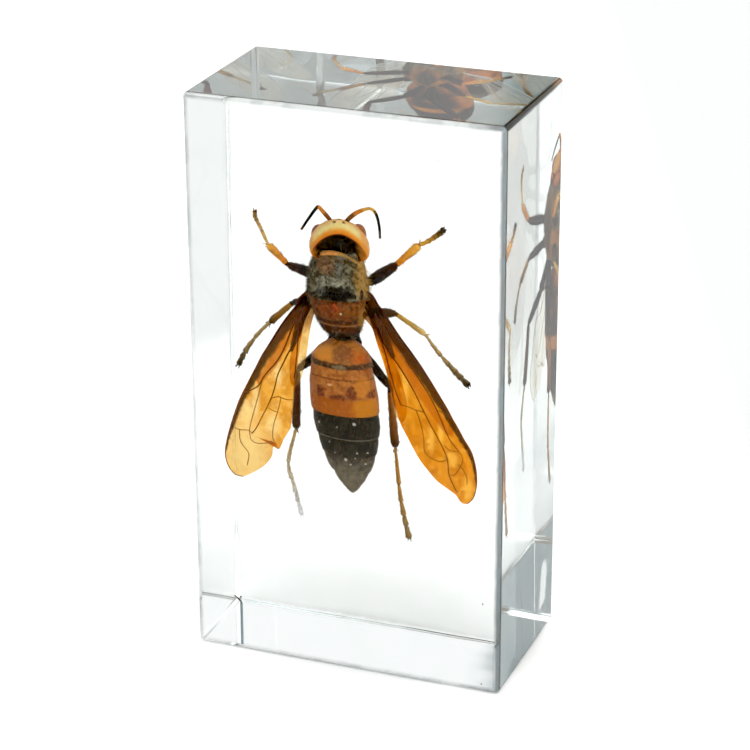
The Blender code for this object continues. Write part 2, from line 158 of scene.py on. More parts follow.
LEFT_VEINS = [
    (0.10, [(-5.9, 47.6), (-6.6, 45.0), (-7.1, 43.0), (-8.1, 41.4), (-8.9, 39.8), (-9.8, 37.9),
            (-10.2, 36.2), (-10.8, 34.5), (-12.1, 31.8), (-12.9, 30.2), (-13.5, 29.4)]),
    (0.10, [(-6.3, 47.3), (-7.7, 44.5), (-8.9, 41.4), (-10.0, 39.5), (-11.0, 38.3), (-11.9, 37.0),
            (-12.4, 36.1), (-13.3, 35.4), (-14.2, 34.9)]),
    (0.07, [(-11.9, 36.9), (-12.3, 35.5), (-12.9, 33.3), (-13.6, 30.9), (-13.9, 29.6)]),
    (0.07, [(-15.9, 29.9), (-15.2, 29.6), (-13.9, 29.7), (-13.5, 29.3)]),
    (0.07, [(-10.8, 34.5), (-10.1, 34.9), (-9.4, 35.0), (-8.8, 34.7), (-7.9, 34.8)]),
    (0.07, [(-9.4, 35.0), (-9.6, 34.0), (-10.0, 32.7), (-10.5, 31.1), (-10.7, 29.4),
            (-10.5, 28.8)]),
    (0.06, [(-11.2, 33.2), (-10.6, 32.9), (-9.9, 32.8)]),
    (0.07, [(-15.2, 29.6), (-15.2, 28.4), (-14.8, 27.5), (-14.0, 26.5), (-14.3, 24.8)]),
    (0.07, [(-13.9, 29.6), (-13.6, 28.3), (-12.3, 28.1), (-10.8, 28.7)]),
    (0.09, [(-6.3, 46.0), (-6.8, 44.4), (-7.1, 41.6), (-7.3, 39.5), (-7.6, 37.8)]),
]
RIGHT_VEINS = [
    (0.10, [(3.2, 47.9), (3.7, 46.8), (4.5, 44.2), (5.5, 42.5), (6.4, 41.3), (7.5, 39.6),
            (8.5, 37.9), (9.4, 36.0), (10.3, 34.3), (11.2, 32.7), (11.9, 31.4), (12.4, 30.3),
            (12.6, 29.4), (12.8, 27.7), (13.8, 25.6)]),
    (0.10, [(3.9, 47.7), (5.4, 45.0), (6.7, 43.3), (8.0, 41.3), (9.3, 39.5), (10.4, 37.8),
            (11.2, 36.3), (11.9, 34.7), (12.5, 33.4), (13.0, 32.4), (14.1, 31.2)]),
    (0.07, [(11.2, 36.3), (12.1, 36.0), (13.0, 35.4)]),
    (0.07, [(12.1, 31.7), (13.0, 31.1), (14.1, 31.1), (14.6, 30.2), (14.2, 29.1), (13.5, 27.9),
            (12.9, 27.8)]),
    (0.07, [(13.9, 29.5), (14.6, 28.8), (15.1, 27.9), (15.1, 26.9)]),
    (0.07, [(6.5, 36.3), (7.6, 36.1), (8.5, 35.8), (9.5, 35.8)]),
    (0.07, [(8.5, 35.8), (9.1, 34.0), (9.5, 32.0), (9.6, 30.4), (10.6, 29.7), (11.6, 29.4),
            (12.5, 29.8)]),
    (0.09, [(3.3, 46.0), (4.4, 43.3), (5.1, 40.5), (5.8, 38.1), (6.5, 36.3)]),
]

# Legs: hip, root of the thigh, knee, ankle, course of the foot, thickness of thigh, shin, foot and
# toe, and the colours of thigh, knee, shin, ankle, foot and toe
LEGS = {
    "left_front": (
        (-3.6, -2.2, 50.8), (-5.0, -2.2, 50.6), (-9.9, 0.2, 50.95), (-12.7, 0.8, 53.1),
        [(-13.5, 0.5, 55.1), (-14.15, 0.0, 56.7), (-14.1, -0.4, 57.6)], (0.66, 0.50, 0.27, 0.30),
        ("0E0603", "401A0A", "F4942E", "FFB850", "F8CC80", "9A7030")),
    "right_front": (
        (-0.2, -2.2, 50.3), (1.2, -2.0, 50.5), (4.0, 1.5, 52.4), (6.9, 1.8, 55.3),
        [(8.1, 1.5, 56.0), (9.5, 1.0, 57.1), (10.3, 0.7, 57.9)], (0.72, 0.52, 0.32, 0.42),
        ("080403", "401C0A", "FF9C30", "FFBC50", "F4B84C", "2A1C0E")),
    "left_middle": (
        (-3.6, -2.0, 47.9), (-5.0, -2.2, 47.4), (-9.4, 0.5, 46.0), (-12.7, 1.2, 42.8),
        [(-14.4, 0.9, 41.0), (-16.0, 0.5, 38.6), (-16.9, 0.1, 36.7)], (0.62, 0.44, 0.28, 0.42),
        ("0A0503", "3A240C", "C4903C", "4A3014", "D0B47C", "3A3020")),
    "right_middle": (
        (-0.2, -2.0, 46.9), (0.8, -2.0, 46.6), (4.0, 1.1, 46.2), (7.9, 1.0, 44.0),
        [(9.7, -0.6, 42.6), (11.9, -2.2, 41.1), (14.6, -4.0, 39.4)], (0.66, 0.37, 0.27, 0.46),
        ("0A0503", "5A3A12", "DCA840", "F4D088", "E0BC80", "54442A")),
    "left_hind": (
        (-2.4, -1.8, 45.2), (-4.0, -0.2, 41.4), (-9.0, 0.7, 37.0), (-9.6, 1.8, 28.6),
        [(-10.8, 2.0, 23.7), (-10.1, 2.1, 20.5), (-9.1, 2.2, 16.6)],
        (0.62, 0.56, 0.30, 0.34), ("0A0503", "140A06", "5E3418", "4A2A14", "C8AC70", "F6F4F8")),
    "right_hind": (
        (-1.2, -1.8, 45.0), (-0.9, -0.2, 41.6), (3.2, 1.5, 36.2), (3.8, 2.0, 28.0),
        [(4.3, 2.4, 21.8), (4.9, 2.4, 18.5), (5.6, 2.3, 15.6)],
        (0.64, 0.56, 0.29, 0.42), ("0E0A06", "3A220E", "A86C2C", "402410", "C08838", "8C7440")),
}
# Shapes of the joints: share of the length and of the thickness
THIGH_SHAPE = [(0, 0.5), (0.04, 0.75), (0.2, 0.98), (0.45, 1.05), (0.75, 0.92), (0.93, 0.74),
               (0.98, 0.6), (1, 0.3)]
SHIN_SHAPE = [(0, 0.35), (0.02, 0.6), (0.07, 0.74), (0.35, 0.84), (0.7, 1.0), (0.93, 1.02),
              (0.98, 0.8), (1, 0.4)]
HIP_SHAPE = [(0, 0.35), (0.05, 0.6), (0.25, 0.74), (0.7, 0.9), (0.92, 1.05), (0.98, 0.8), (1, 0.4)]
FOOT_SHAPE = [(0, 0.35), (0.05, 0.6), (0.15, 0.7), (0.3, 0.76), (0.5, 0.82), (0.7, 0.9),
              (0.92, 1.05), (0.98, 0.8), (1, 0.4)]
FOOT_JOINTS = [0, 42, 60, 75, 86, 100]  # where the joints of a foot end, in hundredths
FOOT_SWELL = [0, 0.3, 0.7, 0.9, 1.0]  # how near each one's thickness is to the toe's
# A claw: way ahead, aside and to the front, and thickness
CLAW = [(-0.1, 0, 0, 0.08), (0.2, 0.18, 0, 0.09), (0.38, 0.22, 0.08, 0.06), (0.46, 0.16, 0.2, 0.02)]
WHIP_SHAPE = [(0.0, 0.8), (0.12, 0.96), (0.8, 1.04), (0.97, 0.98), (1.0, 0.8)]
WHIP_JOINTS = 11
LIMB_SIDES = 14

# Antennae: the stiff first joint, then the whip, as points and thickness
ANTENNAE = {
    "left": ([(-2.4, -6.3, 58.7), (-2.75, -6.65, 59.3), (-3.3, -6.9, 60.0), (-4.0, -7.0, 60.75)],
             [(-4.0, -7.0, 60.75), (-4.5, -6.8, 60.2), (-5.0, -6.6, 59.5), (-5.5, -6.4, 58.8),
              (-6.5, -6.0, 57.3)]),
    "right": ([(-0.6, -6.3, 58.9), (-0.2, -6.6, 59.5), (0.8, -6.9, 60.4), (1.8, -7.1, 61.0)],
              [(1.8, -7.1, 61.0), (2.7, -7.1, 61.3), (3.15, -7.0, 61.05), (3.4, -6.8, 60.6),
               (3.6, -6.5, 59.7), (3.7, -6.2, 58.5), (3.7, -6.0, 57.4)]),
}

# Motes in the resin: place and size
MOTES = [
    (-20.1, 10.5, 0.40, 0.12), (14.2, 9.0, 5.8, 0.09), (9.0, 3.0, 66.0, 0.06), (-14.0, 5.0, 58.0, 0.05),
]

# The studio: the camera round to the right and down, in degrees, its target and its way off in
# metres, and the light
CAMERA_TURN, CAMERA_RISE, CAMERA_ROLL, CAMERA_LENS = 21.2, 22.58, -0.28, 132.9
CAMERA_TARGET, CAMERA_AWAY = (-0.0001, 0, 0.03602), 0.34828
TO_CAMERA = (0.334, -0.861, 0.384)
STUDIO_WHITE, ROOM_GREY = (1.05, 1.05, 1.05, 1), (0.20, 0.26, 0.28, 1)
# The last of these is how much the floor glows, which is painted light.
KEY_LIGHT, HIGH_LIGHT, FLOOR_PAINTED_GLOW = 4.2, 1.2, 0.18
BLACK_LEVEL = 0.042

# ---------------------------------------------------------------- hand tools


def tint(code):
    """A colour as the shaders take it, from its web code."""
    parts = [int(code[i:i + 2], 16) / 255 for i in (0, 2, 4)]
    return [c / 12.92 if c <= 0.04045 else ((c + 0.055) / 1.055) ** 2.4 for c in parts] + [1.0]


def pick(*pieces):
    bpy.ops.object.select_all(action="DESELECT")
    for piece in pieces:
        piece.select_set(True)
    bpy.context.view_layer.objects.active = pieces[0]


def named(name):
    piece = bpy.context.object
    piece.name = piece.data.name = name
    return piece


def settle():
    """Takes the object's place, turn and size into its mesh."""
    bpy.ops.object.transform_apply(location=True, rotation=True, scale=True)


def edit_all():
    bpy.ops.object.mode_set(mode="EDIT")
    bpy.ops.mesh.select_all(action="SELECT")


def leave():
    bpy.ops.object.mode_set(mode="OBJECT")


def add_modifier(piece, kind, **settings):
    """A modifier that is applied at once."""
    pick(piece)
    modifier = piece.modifiers.new(kind, kind)
    for key, value in settings.items():
        setattr(modifier, key, value)
    bpy.ops.object.modifier_apply(modifier=modifier.name)


def join(name, pieces):
    pick(*pieces)
    bpy.ops.object.join()
    return named(name)


def finish(piece, coat, angle=60, nodes=("hornet",), merge=0.002):
    """Closes the seams, turns the faces outwards, brings the piece to metres and coats it."""
    pick(piece)
    edit_all()
    bpy.ops.mesh.remove_doubles(threshold=merge)
    bpy.ops.mesh.normals_make_consistent(inside=False)
    leave()
    piece.scale = (0.001, 0.001, 0.001)
    settle()
    bpy.ops.object.shade_smooth_by_angle(angle=math.radians(angle))
    piece.data.materials.clear()
    piece.data.materials.append(coat)
    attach(piece, "root")
    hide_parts(*nodes)
    return piece


def points_of(piece):
    spots = np.empty(len(piece.data.vertices) * 3)
    piece.data.vertices.foreach_get("co", spots)
    return spots.reshape(-1, 3)


def normals_of(piece):
    ways = np.empty(len(piece.data.vertices) * 3)
    piece.data.vertices.foreach_get("normal", ways)
    return ways.reshape(-1, 3)


def place_points(piece, spots):
    piece.data.vertices.foreach_set("co", spots.ravel())
    piece.data.update()


def through(points, count):
    """count points spread evenly along a smooth curve through the given ones. The first three
    numbers of a point are its place, and any more, such as a radius, go along."""
    rows = np.array(points, dtype=float)
    rows = np.vstack([2 * rows[0] - rows[1], rows, 2 * rows[-1] - rows[-2]])
    t = np.linspace(0, 1, 12, endpoint=False)[:, None]
    curve = []
    for a, b, c, d in zip(rows, rows[1:], rows[2:], rows[3:]):
        curve.append(0.5 * (2 * b + (c - a) * t + (2 * a - 5 * b + 4 * c - d) * t ** 2
                            + (3 * b - a - 3 * c + d) * t ** 3))
    curve = np.vstack(curve + [rows[-2:-1]])
    reach = np.concatenate([[0], np.cumsum(np.linalg.norm(np.diff(curve[:, :3], axis=0), axis=1))])
    spread = np.linspace(0, reach[-1], count)
    return np.column_stack([np.interp(spread, reach, curve[:, i]) for i in range(rows.shape[1])])


def paint(piece, colours, sides):
    """Gives each ring of a drawn piece its colour."""
    shade = piece.data.color_attributes.new("shade", "FLOAT_COLOR", "POINT")
    values = [colours[min(i // sides, len(colours) - 1)] for i in range(len(piece.data.vertices))]
    shade.data.foreach_set("color", np.array(values).ravel())


def draw_limb(name, course, colours, sides=12):
    """A ring drawn along a course of (x, y, z, radius), closed at both ends."""
    places = [Vector(station[:3]) for station in course]
    last = len(places) - 1
    headings = [(places[min(i + 1, last)] - places[max(i - 1, 0)]).normalized()
                for i in range(last + 1)]
    bpy.ops.mesh.primitive_circle_add(
        vertices=sides, radius=course[0][3], fill_type="NGON", location=places[0],
        rotation=headings[0].to_track_quat("Z", "Y").to_euler())
    settle()
    edit_all()
    for i in range(1, last + 1):
        bpy.ops.mesh.extrude_region_move(TRANSFORM_OT_translate={"value": places[i] - places[i - 1]})
        ratio = course[i][3] / course[i - 1][3]
        bpy.ops.transform.resize(value=(ratio,) * 3, center_override=places[i])
        turn = headings[i - 1].rotation_difference(headings[i]).to_euler()
        for axis, angle in zip("XYZ", turn):
            if abs(angle) > 0.001:
                bpy.ops.transform.rotate(value=-angle, orient_axis=axis, center_override=places[i])
    leave()
    piece = named(name)
    paint(piece, colours, sides)
    return piece


def draw_body(name, stations, sides, colours=None):
    """Level rings drawn through stations of (z, x, y, half width, half thickness)."""
    z, x, y, wide, deep = stations[0]
    bpy.ops.mesh.primitive_circle_add(vertices=sides, radius=1, fill_type="NGON", location=(x, y, z))
    piece = named(name)
    piece.scale = (wide, deep, 1)
    settle()
    edit_all()
    for a, b in zip(stations, stations[1:]):
        step = (b[1] - a[1], b[2] - a[2], b[0] - a[0])
        bpy.ops.mesh.extrude_region_move(TRANSFORM_OT_translate={"value": step})
        bpy.ops.transform.resize(value=(b[3] / a[3], b[4] / a[4], 1), center_override=(b[1], b[2], b[0]))
    leave()
    if colours:
        paint(piece, colours, sides)
    return piece


# ---------------------------------------------------------------- coats


class Web:
    """A node tree, with short ways to set nodes in it."""

    def __init__(self, tree):
        self.tree = tree

    def plug(self, value, socket):
        """Links a socket to another one, or gives it a value."""
        if isinstance(value, bpy.types.NodeSocket):
            self.tree.links.new(value, socket)
        else:
            socket.default_value = value

    def node(self, kind, inputs=None, **settings):
        new = self.tree.nodes.new("ShaderNode" + kind)
        for key, value in settings.items():
            setattr(new, key, value)
        for key, value in (inputs or {}).items():
            self.plug(value, new.inputs[key])
        return new

    def math(self, operation, a, b=0.0):
        return self.node("Math", {0: a, 1: b}, operation=operation).outputs[0]

    def times(self, a, b):
        return self.math("MULTIPLY", a, b)

    def less(self, a, b):
        return self.math("SUBTRACT", a, b)

    def rest(self, a):
        return self.less(1.0, a)

    def vector(self, operation, a, b):
        outputs = self.node("VectorMath", {0: a, 1: b}, operation=operation).outputs
        return outputs["Value" if operation == "DOT_PRODUCT" else 0]

    def scaled(self, a, factor):
        return self.node("VectorMath", {0: a, "Scale": factor}, operation="SCALE").outputs[0]

    def parts(self, place):
        return self.node("SeparateXYZ", {0: place}).outputs

    def ramp(self, value, low, high):
        return self.node("MapRange", {"Value": value, "From Min": low, "From Max": high},
                         interpolation_type="SMOOTHSTEP").outputs[0]

    def spread(self, value, low, high, start=0.0, end=1.0):
        """What runs from start to end, brought between low and high."""
        return self.node("MapRange", {"Value": value, "From Min": start, "From Max": end,
                                      "To Min": low, "To Max": high}).outputs[0]

    def noise(self, place, size, detail=3.0, rough=0.55):
        """Noise whose patches are about size millimetres across."""
        scale = self.math("DIVIDE", 1.0, size)
        return self.node("TexNoise", {"Vector": place, "Scale": scale, "Detail": detail,
                                      "Roughness": rough}).outputs

    def shaken(self, place, wobble, size=0.7):
        """The place moved about by up to wobble, so that borders aren't ruled."""
        middle = self.vector("SUBTRACT", self.noise(place, size)["Color"], (0.5, 0.5, 0.5))
        return self.vector("ADD", place, self.scaled(middle, wobble))


def new_group(name, inputs, output, kind="Float"):
    """An empty node group with Place and other inputs, and one output."""
    web = Web(bpy.data.node_groups.new(name, "ShaderNodeTree"))
    sockets = web.tree.interface
    sockets.new_socket("Place", in_out="INPUT", socket_type="NodeSocketVector")
    for label, value in inputs.items():
        form = "Vector" if isinstance(value, tuple) else "Float"
        sockets.new_socket(label, in_out="INPUT", socket_type="NodeSocket" + form).default_value = value
    sockets.new_socket(output, in_out="OUTPUT", socket_type="NodeSocket" + kind)
    given, out = web.tree.nodes.new("NodeGroupInput"), web.tree.nodes.new("NodeGroupOutput")
    return web, given.outputs, out.inputs[0]


def make_mottle():
    """Irregular patches."""
    web, given, out = new_group("mottle", {"Size": 1.0, "Low": 0.45, "High": 0.6}, "Mask")
    noise = web.noise(given["Place"], given["Size"])[0]
    web.plug(web.ramp(noise, given["Low"], given["High"]), out)
    return web.tree


def make_spot():
    """A blot round a centre, as far as its reach."""
    web, given, out = new_group("spot", {"Centre": (0.0, 0.0, 0.0), "Reach": (1.0, 1.0, 1.0),
                                         "Wobble": 1.0, "Soft": 0.3}, "Mask")
    offset = web.vector("SUBTRACT", web.shaken(given["Place"], given["Wobble"]), given["Centre"])
    share = web.vector("DIVIDE", offset, given["Reach"])
    away = web.node("VectorMath", {0: share}, operation="LENGTH").outputs["Value"]
    outer = web.math("ADD", 1.0, given["Soft"])
    web.plug(web.rest(web.ramp(away, web.rest(given["Soft"]), outer)), out)
    return web.tree


def make_band():
    """A level band between two heights."""
    web, given, out = new_group("band", {"Low": 0.0, "High": 1.0, "Soft": 0.1, "Wobble": 0.3}, "Mask")
    height = web.parts(web.shaken(given["Place"], given["Wobble"]))["Z"]
    over_low, over_high = (
        web.ramp(height, web.less(edge, given["Soft"]), web.math("ADD", edge, given["Soft"]))
        for edge in (given["Low"], given["High"]))
    web.plug(web.times(over_low, web.rest(over_high)), out)
    return web.tree


def make_grain():
    """Fine pits and ridges as a normal. Depth is in millimetres."""
    web, given, out = new_group("grain", {"Size": 0.2, "Depth": 0.02}, "Normal", "Vector")
    rough = web.noise(given["Place"], given["Size"], 4.0, 0.6)[0]
    scale = web.math("DIVIDE", 1.0, given["Size"])
    pits = web.node("TexVoronoi", {"Vector": given["Place"], "Scale": scale}).outputs["Distance"]
    height = web.math("ADD", rough, web.times(pits, 0.5))
    depth = web.times(given["Depth"], 0.001)
    web.plug(web.node("Bump", {"Height": height, "Distance": depth, "Strength": 1.0}).outputs[0], out)
    return web.tree


def make_painted_edge_shade():
    """Where painted shade lies on the rounded edges of the block, most of all in front on the right."""
    web, given, out = new_group("painted_edge_shade", {"Width": 0.95}, "Mask")
    parts = web.parts(given["Place"])
    level = web.less(parts["Z"], BLOCK_TALL / 2)
    near = []
    for part, size in ((parts["X"], BLOCK_WIDE), (parts["Y"], BLOCK_DEEP), (level, BLOCK_TALL)):
        away = web.less(size / 2, web.math("ABSOLUTE", part))
        near.append(web.rest(web.ramp(away, 0.3, given["Width"])))
    pairs = [web.times(near[i], near[j]) for i, j in ((0, 1), (1, 2), (0, 2))]
    most = web.math("MAXIMUM", web.math("MAXIMUM", pairs[0], pairs[1]), pairs[2])
    front = web.rest(web.times(0.8, web.ramp(parts["Y"], 6.0, 10.0)))
    right = web.spread(parts["X"], 0.55, 1.0, 15.0, 19.0)
    web.plug(web.times(most, web.times(front, right)), out)
    return web.tree


GROUPS = {tree.name: tree for tree in (make_painted_edge_shade(), make_mottle(), make_spot(), make_band(),
                                       make_grain())}


class Coat(Web):
    """A material built up in layers of colour over a ground, or over the piece's own shades."""

    def __init__(self, name, ground=None):
        self.material = bpy.data.materials.new(name)
        self.material.use_nodes = True
        super().__init__(self.material.node_tree)
        self.shader = self.tree.nodes["Principled BSDF"].inputs
        self.place = self.scaled(self.node("TexCoord").outputs["Object"], 1000.0)
        self.colour = tint(ground) if ground else self.attribute("shade")

    def group(self, kind, **values):
        node = self.tree.nodes.new("ShaderNodeGroup")
        node.node_tree = GROUPS[kind]
        self.plug(self.place, node.inputs["Place"])
        for key, value in values.items():
            node.inputs[key].default_value = value
        return node.outputs[0]

    def mottle(self, size, low=0.45, high=0.6):
        return self.group("mottle", Size=size, Low=low, High=high)

    def spot(self, centre, reach, wobble=1.0, soft=0.3):
        return self.group("spot", Centre=centre, Reach=reach, Wobble=wobble, Soft=soft)

    def band(self, low, high, soft=0.1, wobble=0.3):
        return self.group("band", Low=low, High=high, Soft=soft, Wobble=wobble)

    def attribute(self, name, output="Color"):
        return self.node("Attribute", attribute_name=name).outputs[output]

    def frayed(self, name):
        """A mask of the piece with an uneven border."""
        uneven = self.times(self.less(self.mottle(0.8, 0.35, 0.65), 0.5), 0.24)
        return self.ramp(self.math("ADD", self.attribute(name, "Fac"), uneven), 0.15, 0.85)

    def lay(self, mask, colour, share=1.0, blend="MIX"):
        """Lays a colour over what is there, where the mask is 1."""
        if share != 1.0:
            mask = self.times(mask, share)
        self.colour = self.node("Mix", {0: mask, 6: self.colour, 7: tint(colour)},
                                data_type="RGBA", blend_type=blend).outputs[2]

    def lay_spots(self, spots):
        """Lays spots, each a centre, a reach, a colour, a share, and perhaps a wobble and a softness."""
        for centre, reach, colour, share, *border in spots:
            self.lay(self.spot(centre, reach, *border), colour, share)

    def fade_in_mirror(self, colour):
        """Painted reflection: seen by way of a reflection, as in the block's other faces, the piece is laid
        over with a pale colour, so that a thin piece hardly shows there.
        """
        mirrored = self.node("LightPath").outputs["Glossy Depth"]
        self.lay(self.math("MINIMUM", mirrored, 1.0), colour, 0.9)

    def done(self, rough, grain=None, **sockets):
        """Links the colour, a roughness that varies and a fine relief, and sets the rest."""
        self.plug(self.colour, self.shader["Base Color"])
        self.plug(self.spread(self.mottle(0.5, 0.3, 0.7), *rough), self.shader["Roughness"])
        if grain:
            self.plug(self.group("grain", Size=grain[0], Depth=grain[1]), self.shader["Normal"])
        for key, value in sockets.items():
            self.shader[key.replace("_", " ")].default_value = value
        return self.material


def head_coat():
    coat = Coat("head_shell")
    coat.lay(coat.mottle(0.9, 0.45, 0.75), "FFCC80", 0.35, "MULTIPLY")
    coat.lay(coat.mottle(0.25, 0.55, 0.8), "F0D080", 0.3, "OVERLAY")
    coat.lay(coat.mottle(0.16, 0.62, 0.72), "B06020", 0.4, "MULTIPLY")
    coat.lay_spots([((-5.2, -7.2, 56.0), (1.2, 2.4, 2.4), "F89C38", 0.7),
                    ((2.3, -6.0, 56.3), (1.3, 2.4, 2.6), "F89C38", 0.75)])
    return coat.done((0.35, 0.5), (0.16, 0.02), IOR=1.3)


def eye_coat():
    coat = Coat("eye", "9A5238")
    coat.lay(coat.mottle(0.8, 0.4, 0.65), "A8706A", 0.8)
    coat.lay(coat.spot((1.4, -7.2, 58.2), (1.6, 1.6, 1.6)), "C8742C", 0.9)
    coat.lay(coat.mottle(0.18, 0.5, 0.7), "4A1E18", 0.5)
    return coat.done((0.2, 0.35), (0.09, 0.02), IOR=1.35)


def thorax_coat():
    coat = Coat("thorax_shell", "6A5C3C")
    coat.lay(coat.mottle(1.6, 0.42, 0.62), "A09A7A", 0.8)
    coat.lay(coat.mottle(0.7, 0.48, 0.66), "C8C0A0", 0.7)
    coat.lay(coat.mottle(0.5, 0.5, 0.64), "1E180E", 0.75)
    coat.lay_spots([
        ((-2.9, -7.2, 53.5), (1.3, 2.2, 1.1), "B8845A", 0.75),
        ((-1.1, -8.2, 53.6), (0.42, 2.0, 1.5), "8C8A7C", 0.8, 0.5),
        ((1.7, -6.2, 52.2), (1.3, 2.4, 2.8), "C09040", 0.8),
        ((-3.5, -8.0, 50.4), (0.7, 1.5, 0.9), "C0BCAA", 0.8),
    ])
    whitish = coat.spot((-1.7, -8.5, 51.5), (2.2, 1.5, 0.8), 1.6)
    coat.lay(coat.times(whitish, coat.mottle(0.45, 0.42, 0.56)), "D8D2B6", 0.75)
    coat.lay(coat.spot((-1.15, -8.6, 50.05), (2.6, 1.5, 0.95), 2.2, 0.4), "0A0604", 0.97)
    coat.lay(coat.band(44.0, 49.15, 0.12, 0.5), "8A4A1E")
    coat.lay_spots([
        ((-2.2, -8.0, 48.0), (1.7, 1.5, 1.0), "A85422", 0.85),
        ((0.6, -7.6, 48.1), (1.4, 1.5, 1.0), "A05C22", 0.8),
        ((-1.7, -8.5, 48.45), (0.5, 1.0, 0.45), "D8541A", 0.8, 0.3),
        ((-0.85, -8.3, 47.6), (0.16, 1.0, 0.16), "FFE8B0", 0.9, 0.1),
    ])
    coat.lay(coat.mottle(0.6, 0.48, 0.62), "2E1408", 0.6)
    coat.lay(coat.band(46.1, 46.5, 0.12, 0.35), "241006", 0.7)
    coat.lay(coat.band(45.75, 45.9, 0.05, 0.3), "D0A060", 0.4)
    coat.lay(coat.band(44.6, 45.6, 0.15, 0.3), "4A2210", 0.85)
    coat.lay(coat.band(42.0, 44.7, 0.12, 0.3), "0E0704", 0.95)
    # Near black where the neck sits in the head's hollow: partly the neck's dark colour and partly painted
    # shade.
    coat.lay(coat.band(55.1, 58.0, 0.15, 0.2), "140805", 0.97)
    coat.lay_spots([
        ((1.6, -4.4, 46.8), (1.2, 2.5, 2.0), "C08A3A", 0.7),
        ((-1.8, -1.2, 49.6), (3.6, 1.6, 5.0), "D98A2C", 0.9),
        ((-1.8, -0.9, 49.6), (1.4, 1.6, 4.0), "15110E", 0.95),
    ])
    return coat.done((0.5, 0.75), (0.16, 0.05), IOR=1.25)


def abdomen_coat():
    coat = Coat("abdomen_shell", "BE6E34")
    coat.lay(coat.mottle(1.4, 0.4, 0.65), "DC8E3C", 0.6)
    coat.lay(coat.mottle(0.8, 0.48, 0.66), "8A4218", 0.6)
    # The first plate is lighter on its left and darker towards its right: painted light and shade.
    coat.lay_spots([
        ((-3.5, -7.0, 41.9), (1.9, 1.8, 0.9), "F0983A", 0.9),
        ((0.9, -6.8, 41.8), (1.2, 1.8, 0.9), "CC6A24", 0.8),
        ((1.3, -6.3, 41.6), (0.7, 1.0, 0.4), "D85A20", 0.5),
        ((-0.9, -7.8, 42.2), (1.3, 1.8, 1.3), "8A5430", 0.7),
        ((2.4, -6.0, 40.6), (1.0, 2.0, 1.6), "A8541C", 0.6),
    ])
    coat.lay(coat.band(40.2, 40.95, 0.15, 0.5), "3A2A1C", 0.92)
    coat.lay(coat.spot((-1.2, -8.2, 40.5), (0.9, 1.0, 0.35)), "8A7A58", 0.7)
    coat.lay(coat.band(38.75, 38.95, 0.06, 0.25), "5A2A12", 0.6)
    coat.lay_spots([
        ((1.6, -7.2, 37.9), (1.2, 1.4, 1.3), "E08A30", 0.7),
        ((-3.7, -8.1, 36.9), (0.7, 1.0, 0.9), "6A2A14", 0.85, 1.2),
        ((-1.4, -8.6, 36.5), (1.2, 1.0, 0.5), "6A2A14", 0.85, 1.2),
        ((0.3, -8.3, 37.2), (0.7, 1.0, 0.9), "6A2A14", 0.85, 1.2),
        ((2.5, -6.3, 37.0), (0.5, 1.0, 0.6), "6A2A14", 0.85, 1.2),
        ((-2.4, -8.6, 38.1), (0.35, 1.0, 0.16), "F2C080", 0.8, 0.2),
    ])
    orange = coat.band(34.1, 36.3, 0.25, 0.5)
    coat.lay(orange, "B85E16", 0.9)
    # Lighter on the right of the orange band: painted light.
    coat.lay(coat.times(orange, coat.spot((2.0, -6.6, 35.4), (1.7, 3.0, 3.0))), "E08C20", 0.8)
    coat.lay(coat.mottle(0.35, 0.5, 0.75), "F0A850", 0.3)
    coat.lay(coat.band(20.0, 34.1, 0.08, 0.1), "1C170D")
    tail = coat.band(20.0, 33.9, 0.1, 0.3)
    coat.lay(coat.times(coat.mottle(1.0, 0.4, 0.7), tail), "363022", 0.8)
    coat.lay(coat.times(coat.mottle(0.22, 0.62, 0.75), tail), "8E8A7E", 0.45)
    coat.lay(coat.band(20.0, 26.8, 2.4, 1.0), "8C8068", 0.55)
    coat.lay(coat.times(coat.band(20.0, 28.2, 1.2, 1.0), coat.mottle(0.9, 0.3, 0.75)), "A4967C", 0.4)
    coat.lay_spots([((x, y, z), (size, 1.0, size), "CEC8B6", 0.85, 0.35)
                    for x, y, z, size in TAIL_SPECKS])
    coat.lay(coat.band(30.85, 31.0, 0.05, 0.3), "8A8676", 0.6)
    belly = coat.spot((-1.0, -1.2, 33.0), (4.6, 2.4, 12.0), 0.5)
    coat.lay(belly, "1C1E1C", 0.95)
    coat.lay(coat.times(coat.band(32.7, 34.6, 0.15, 0.4), belly), "D98A2C", 0.9)
    coat.lay(coat.spot((-0.9, -1.0, 38.0), (1.4, 1.5, 0.7)), "C87828", 0.7)
    return coat.done((0.4, 0.65), (0.12, 0.03), IOR=1.25)


def limb_coat():
    coat = Coat("limb_shell")
    coat.lay(coat.mottle(0.7, 0.5, 0.6), "4A2A14", 0.22)
    coat.lay(coat.mottle(0.3, 0.5, 0.64), "F8D088", 0.45, "OVERLAY")
    return coat.done((0.35, 0.55), (0.1, 0.025), IOR=1.25)


def hair_coat(name, low, high):
    coat = Coat(name, low)
    coat.lay(coat.mottle(0.7, 0.42, 0.6), high)
    coat.lay(coat.mottle(1.3, 0.42, 0.58), low, 0.6)
    coat.lay(coat.mottle(0.2, 0.5, 0.7), low, 0.4)
    whitish = coat.spot((-1.9, -8.6, 51.6), (2.2, 1.6, 0.8), 1.6)
    coat.lay(coat.times(whitish, coat.mottle(0.4, 0.45, 0.55)), "E4E0CC", 0.6)
    coat.lay(coat.spot((-1.15, -8.8, 50.05), (2.6, 2.0, 0.95), 2.2, 0.4), "0A0604", 0.95)
    coat.lay(coat.spot((-2.9, -7.4, 53.6), (1.3, 2.2, 1.0)), "A87850", 0.6)
    coat.lay(coat.band(54.3, 57.0, 0.3, 0.6), "B88A48", 0.8)
    return coat.done((0.5, 0.7), IOR=1.2)


